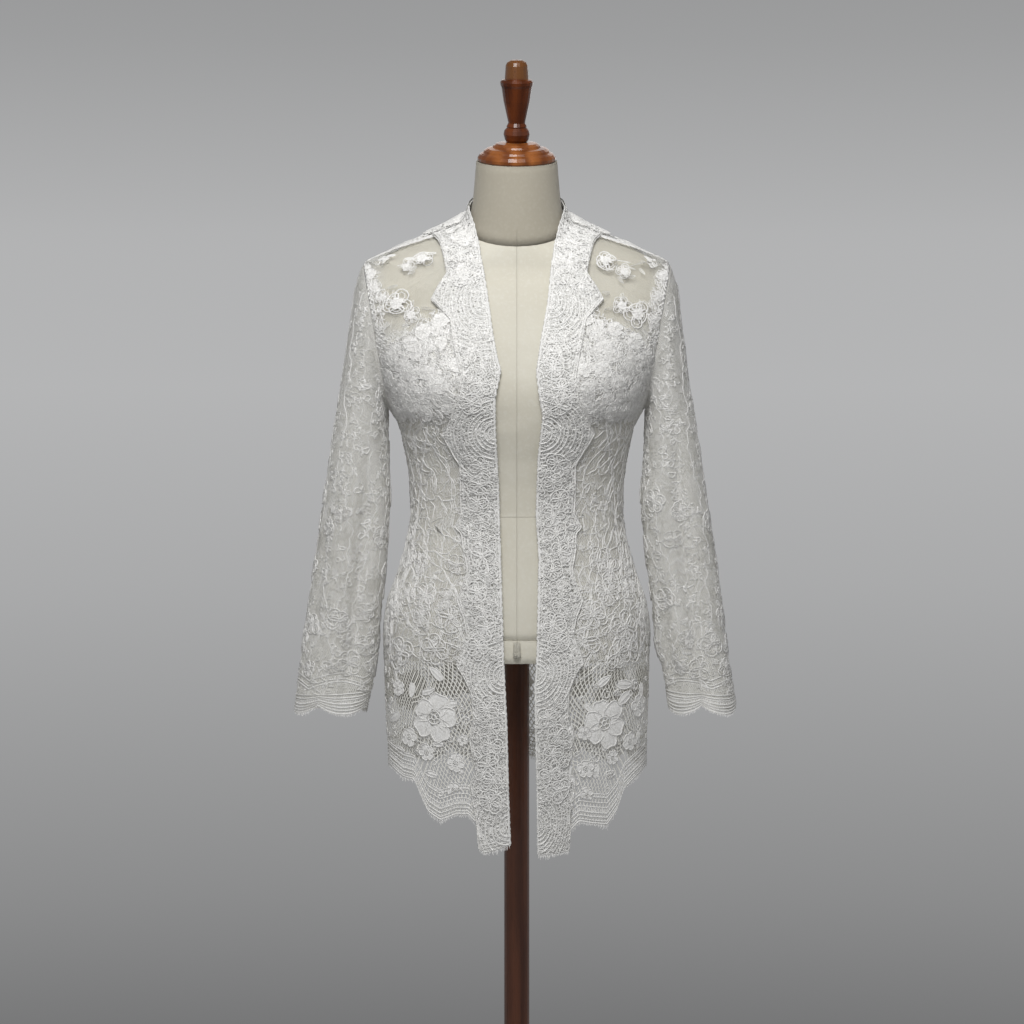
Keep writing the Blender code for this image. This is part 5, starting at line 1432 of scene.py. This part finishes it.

# %% [markdown]
# ## Sleeves
#
# The sleeves are the palest part: a web that runs lengthwise, small flowers that gather towards the cuff, scalloped
# double cords above the edge, and straight cords with a ladder at the edge.

# %% Sleeves
for side in ("left", "right"):
    mirrored, seed = side == "left", (83 if side == "left" else 97)
    sleeve = patterns["sleeve", side]
    rng = np.random.default_rng(seed)
    z = sleeve.points[..., 2]
    ground = net_piece(f"sleeve_{side}_net", sleeve, net, mirrored, 0.36 + 0.10 * (1 - ramp(z, 0.83, 0.90)), 0.0)
    drawing = Motif()
    top, wide = sleeve.up[-1], float(sleeve.width.mean())
    for k in range(10):
        ts = np.linspace(0.06, top - 0.01, 90)
        stem = np.stack([sleeve.width_at(ts) * (k + 0.5) / 10 + 0.006 * np.sin(ts * 31 + k * 1.7), ts], -1)
        drawing.threads(drift(stem, 0.04, 0.005, seed + k), 0.0011, 0.0008)
    places, rng = scattered((0.0, 0.028), (wide, top), 0.0086, seed + 1)
    for s, t in places:
        column = 0.5 + 0.5 * math.sin(s / wide * 6.28 * 5 + 1.3 * math.sin(t * 22) + seed)
        if rng.uniform() < 0.14 + 0.50 * column**1.5:
            kind = FINE_SCRIBBLES if rng.uniform() < 0.75 else SCRIBBLES
            s = s / wide * float(sleeve.width_at(t))
            drawing.stamp(kind[int(rng.integers(10))], s, t, rng.uniform(0.8, 1.4), rng.uniform(0, 6.28), 0.0002, sleeve)
    places, rng = scattered((0.0, 0.055), (wide, 0.300), 0.036, seed + 2, 0.30)
    for s, t in places:
        if rng.uniform() < 0.8 - 1.6 * t:
            motif, s = FINE_CORDED[int(rng.integers(4))], s / wide * float(sleeve.width_at(t))
            drawing.stamp(motif, s, t, rng.uniform(0.7, 1.25), rng.uniform(0, 6.28), 0.0004, sleeve)
    edging = Motif()
    for t, width in ((0.030, 0.0014), (0.0335, 0.0010), (0.0405, 0.0012)):
        line = level_line(sleeve, t, 220)
        phase = line[:, 0] / sleeve.width_at(line[:, 1]) * CUFF_SCALLOPS * math.pi
        line[:, 1] += 0.009 * np.abs(np.sin(phase + 0.5 * seed))
        edging.threads(line, width, 0.0009, taper=1.0)
    for t, width in ((0.0016, 0.0019), (0.0050, 0.0012), (0.0085, 0.0015), (0.0185, 0.0015), (0.0225, 0.0012)):
        line = level_line(sleeve, t, 220)
        edging.threads(line, width, 0.0009, taper=1.0)
    ladder(edging, level_line(sleeve, 0.0120, 220), 0.0040, 0.0030)
    edging.threads(level_line(sleeve, top - 0.0012, 200), 0.0019, 0.0010, taper=1.0)
    raised = lay(f"sleeve_{side}_flowers", drawing, sleeve, thread, mirrored)
    cuff_lace = lay(f"sleeve_{side}_edge", edging, sleeve, thread, mirrored)
    lashes = fringe(f"sleeve_{side}_fringe", sleeve, 0.0, 0.0, 1.0, mirrored, seed, 0.0015, (0.002, 0.005))
    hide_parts(f"sleeve_{side}", f"sleeve_{side}_head")
    pieces["sleeve", side] = (ground, [raised, cuff_lace, lashes])

# %% [markdown]
# ## Cut sizes of the cloth
#
# Each ground is a sheet, cut flat to a size before it was sewn and worn. The table below gives that cut for each kind
# of piece.

# %% Cut sizes
CUTS = {  # piece: width and length of the cloth it is cut from, share of that which the piece keeps
    "front": ((0.24, 0.78), 0.62), "band": ((0.075, 0.90), 0.80), "back": ((0.46, 0.74), 0.78),
    "collar": ((0.33, 0.055), 0.75), "sleeve": ((0.37, 0.57), 0.80),
}
for (kind, side), (ground, parts) in pieces.items():
    flat, share = CUTS[kind]

# %% [markdown]
# ## Linen and wood
#
# The form is covered in plain woven linen with a seam down the front and one at the waist. Its weave is two
# sets of waves at right angles, and the seams are thin grooves with stitches beside them. The cap, the knob
# and the stand are stained wood under varnish: rings stretched along the grain, and a clear coat.


# %% Linen
def linen_finish(name, tones, slub_tone):
    made, tree, feed = finish(name, Roughness=0.85, Sheen_Weight=0.15, Specular_IOR_Level=0.25)
    at = object_place(tree)
    x, y, z = (part_of(tree, at, k) for k in range(3))
    wander = noise(tree, at, 60.0) * 0.0006
    warp = (x + wander + 3.0).maths("PINGPONG", 0.00045) / 0.00045
    weft = (z + wander + 3.0).maths("PINGPONG", 0.00045) / 0.00045
    weave = warp * 0.5 + weft * 0.5
    front = y.step(-0.02, -0.03)
    below_neck = z.step(1.408, 1.404)
    middle = x.maths("ABSOLUTE").step(0.0002, 0.0006, 1.0, 0.0) * front * below_neck
    waist = (z - WAIST_SEAM_Z).maths("ABSOLUTE").step(0.0002, 0.0007, 1.0, 0.0)
    stitches = ((x.maths("ABSOLUTE") - 0.0024).maths("ABSOLUTE").step(0.0002, 0.0005, 1.0, 0.0)
                * (z + 3.0).maths("PINGPONG", 0.0015).step(0.0004, 0.0006) * front * below_neck)
    slub = noise(tree, at, 220.0, 2.0)
    patches = noise(tree, at, 9.0)
    tone = colours(tree, patches.step(0.3, 0.7), *tones)
    tone = colours(tree, slub.step(0.45, 0.75) * 0.5, tone, slub_tone)
    tone = colours(tree, middle.maths("MAXIMUM", waist) * 0.30, tone, (0.46, 0.42, 0.34))
    feed("Base Color", tone)
    rounded = node(tree, "ShaderNodeBevel", {"samples": 4}, {"Radius": 0.015})
    relief = {"Height": weave * 0.35 + slub * 0.3 - middle - waist + stitches * 0.3, "Distance": 0.0004,
              "Normal": rounded}
    feed("Normal", node(tree, "ShaderNodeBump", {}, relief))
    return made


linen = linen_finish("linen", ((0.73, 0.70, 0.60), (0.69, 0.655, 0.55)), (0.77, 0.745, 0.66))
# The neck gets the same linen in a darker tone: painted shade for the shadow that falls on the neck under the cap.
neck_linen_painted_shade = linen_finish("neck_linen_painted_shade", ((0.435, 0.400, 0.325), (0.410, 0.375, 0.300)), (0.47, 0.44, 0.365))


# %% Wood
def wood_finish(name, dark, light, painted_highlight_from=None):
    made, tree, feed = finish(name, Roughness=0.38, Specular_IOR_Level=0.25, Coat_Weight=0.45, Coat_Roughness=0.10)
    at = object_place(tree)
    x, y, z = (part_of(tree, at, k) for k in range(3))
    grain_at = node(tree, "ShaderNodeMapping", {}, {"Vector": at, "Scale": (1.0, 1.0, 0.10)})
    bend = noise(tree, grain_at, 30.0, 4.0)
    rings = (x * 260.0 + bend * 9.0 + y * 60.0).maths("SINE") * 0.5 + 0.5
    pores = noise(tree, node(tree, "ShaderNodeMapping", {}, {"Vector": at, "Scale": (1.0, 1.0, 0.04)}), 900.0, 2.0)
    tone = colours(tree, rings * 0.7 + bend.step(0.4, 0.7) * 0.3, dark, light)
    # Above a given height the knob is mixed to a paler brown: a painted highlight on its top, where the light from
    # above falls.
    if painted_highlight_from is not None:
        top = (z + bend * 0.004).step(painted_highlight_from, painted_highlight_from + 0.004)
        tone = colours(tree, top * 0.75, tone, (0.17, 0.068, 0.018))
    tone = colours(tree, pores.step(0.58, 0.72) * 0.45, tone, tuple(c * 0.35 for c in dark))
    feed("Base Color", tone)
    feed("Roughness", 0.28 + pores * 0.15)
    feed("Normal", bump(tree, pores * -1.0, 0.00012))
    return made


cap_wood = wood_finish("cap_wood", (0.16, 0.043, 0.009), (0.36, 0.120, 0.028))
knob_wood = wood_finish("knob_wood", (0.060, 0.012, 0.002), (0.15, 0.034, 0.005), 1.596)
stand_wood = wood_finish("stand_wood", (0.055, 0.018, 0.009), (0.12, 0.040, 0.018))

DRESSED = {
    "form_torso": linen, "form_hip_band": linen, "form_tab": linen, "form_neck": neck_linen_painted_shade,
    "neck_cap": cap_wood, "finial": knob_wood, "pole": stand_wood, "base": stand_wood,
}
for name, made in DRESSED.items():
    thing = frame["nodes"][name]
    thing.data.materials.clear()
    thing.data.materials.append(made)
print("dressed:", ", ".join(DRESSED))

# %% [markdown]
# ## Floor, light and camera
#
# A pale round floor catches a soft shadow. Two broad lamps stand before the form, the left one stronger, and
# a grey sky fills in. The camera is level at chest height with a long lens, and its view is shifted down
# rather than tilted, so upright lines stay parallel as in the photograph.

# %% Floor
bpy.ops.mesh.primitive_circle_add(vertices=96, radius=1.35, fill_type="NGON", location=(0, 0, 0))
floor = bpy.context.object
floor.name = "floor"
made, tree, feed = finish("floor_paint", Roughness=0.8)
spots = noise(tree, object_place(tree), 6.0)
feed("Base Color", colours(tree, spots, (0.62, 0.62, 0.63), (0.66, 0.66, 0.67)))
floor.data.materials.append(made)
floor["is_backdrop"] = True


# %% Light
def lamp(name, at, towards, size, power):
    data = bpy.data.lights.new(name, "AREA")
    data.shape, data.size, data.energy = "DISK", size, power
    thing = bpy.data.objects.new(name, data)
    thing.location = at
    thing.rotation_euler = (Vector(towards) - Vector(at)).to_track_quat("-Z", "Y").to_euler()
    bpy.context.scene.collection.objects.link(thing)


lamp("soft_top", (-0.14, -1.42, 2.60), (0, 0, 1.2), 1.0, 31)
lamp("soft_front", (-0.3, -2.8, 1.5), (0, 0, 1.05), 1.6, 3)
lamp("soft_back", (0.3, 2.2, 2.4), (0, 0, 1.1), 1.8, 7)

SKY = (  # height of the direction, from 0 straight down to 1 straight up, and how bright the room is there
    (0.0, 0.10), (0.36, 0.14), (0.40, 0.26), (0.46, 0.40), (0.50, 0.46), (0.53, 0.45), (0.57, 0.34), (0.66, 0.18),
    (1.0, 0.16),
)
world = bpy.data.worlds.new("studio")
bpy.context.scene.world = world
world.use_nodes = True
tree = world.node_tree
direction = node(tree, "ShaderNodeTexCoord", {}, {}, 0)
height = part_of(tree, direction, 2) * 0.5 + 0.5
stops = [(at, (value, value * 1.005, value * 1.015)) for at, value in SKY]
room = node(tree, "ShaderNodeValToRGB", {"stops": stops}, {"Fac": height})
tree.links.new(room.socket, tree.nodes["Background"].inputs["Color"])
bpy.context.scene.view_settings.view_transform = "Standard"

# %% Camera
camera = bpy.data.objects.new("camera", bpy.data.cameras.new("camera"))
camera.location = (-0.006, -3.1, 1.21)
camera.rotation_euler = (math.pi / 2, 0, 0)
camera.data.lens = 36 * 3.104 / 1.30
camera.data.sensor_width = 36
camera.data.shift_y = (1.052 - 1.21) / 1.30
bpy.context.scene.collection.objects.link(camera)
bpy.context.scene.camera = camera

# %% [markdown]
# ## Triangle count
#
# The dressed model must stay the size of the solids. Here the triangles of the shown pieces are added up and printed.

# %% Sizes
import json

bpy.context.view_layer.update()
total = sum(2 * len(thing.data.polygons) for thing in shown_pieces() if thing.type == "MESH")
print("about", total, "triangles")
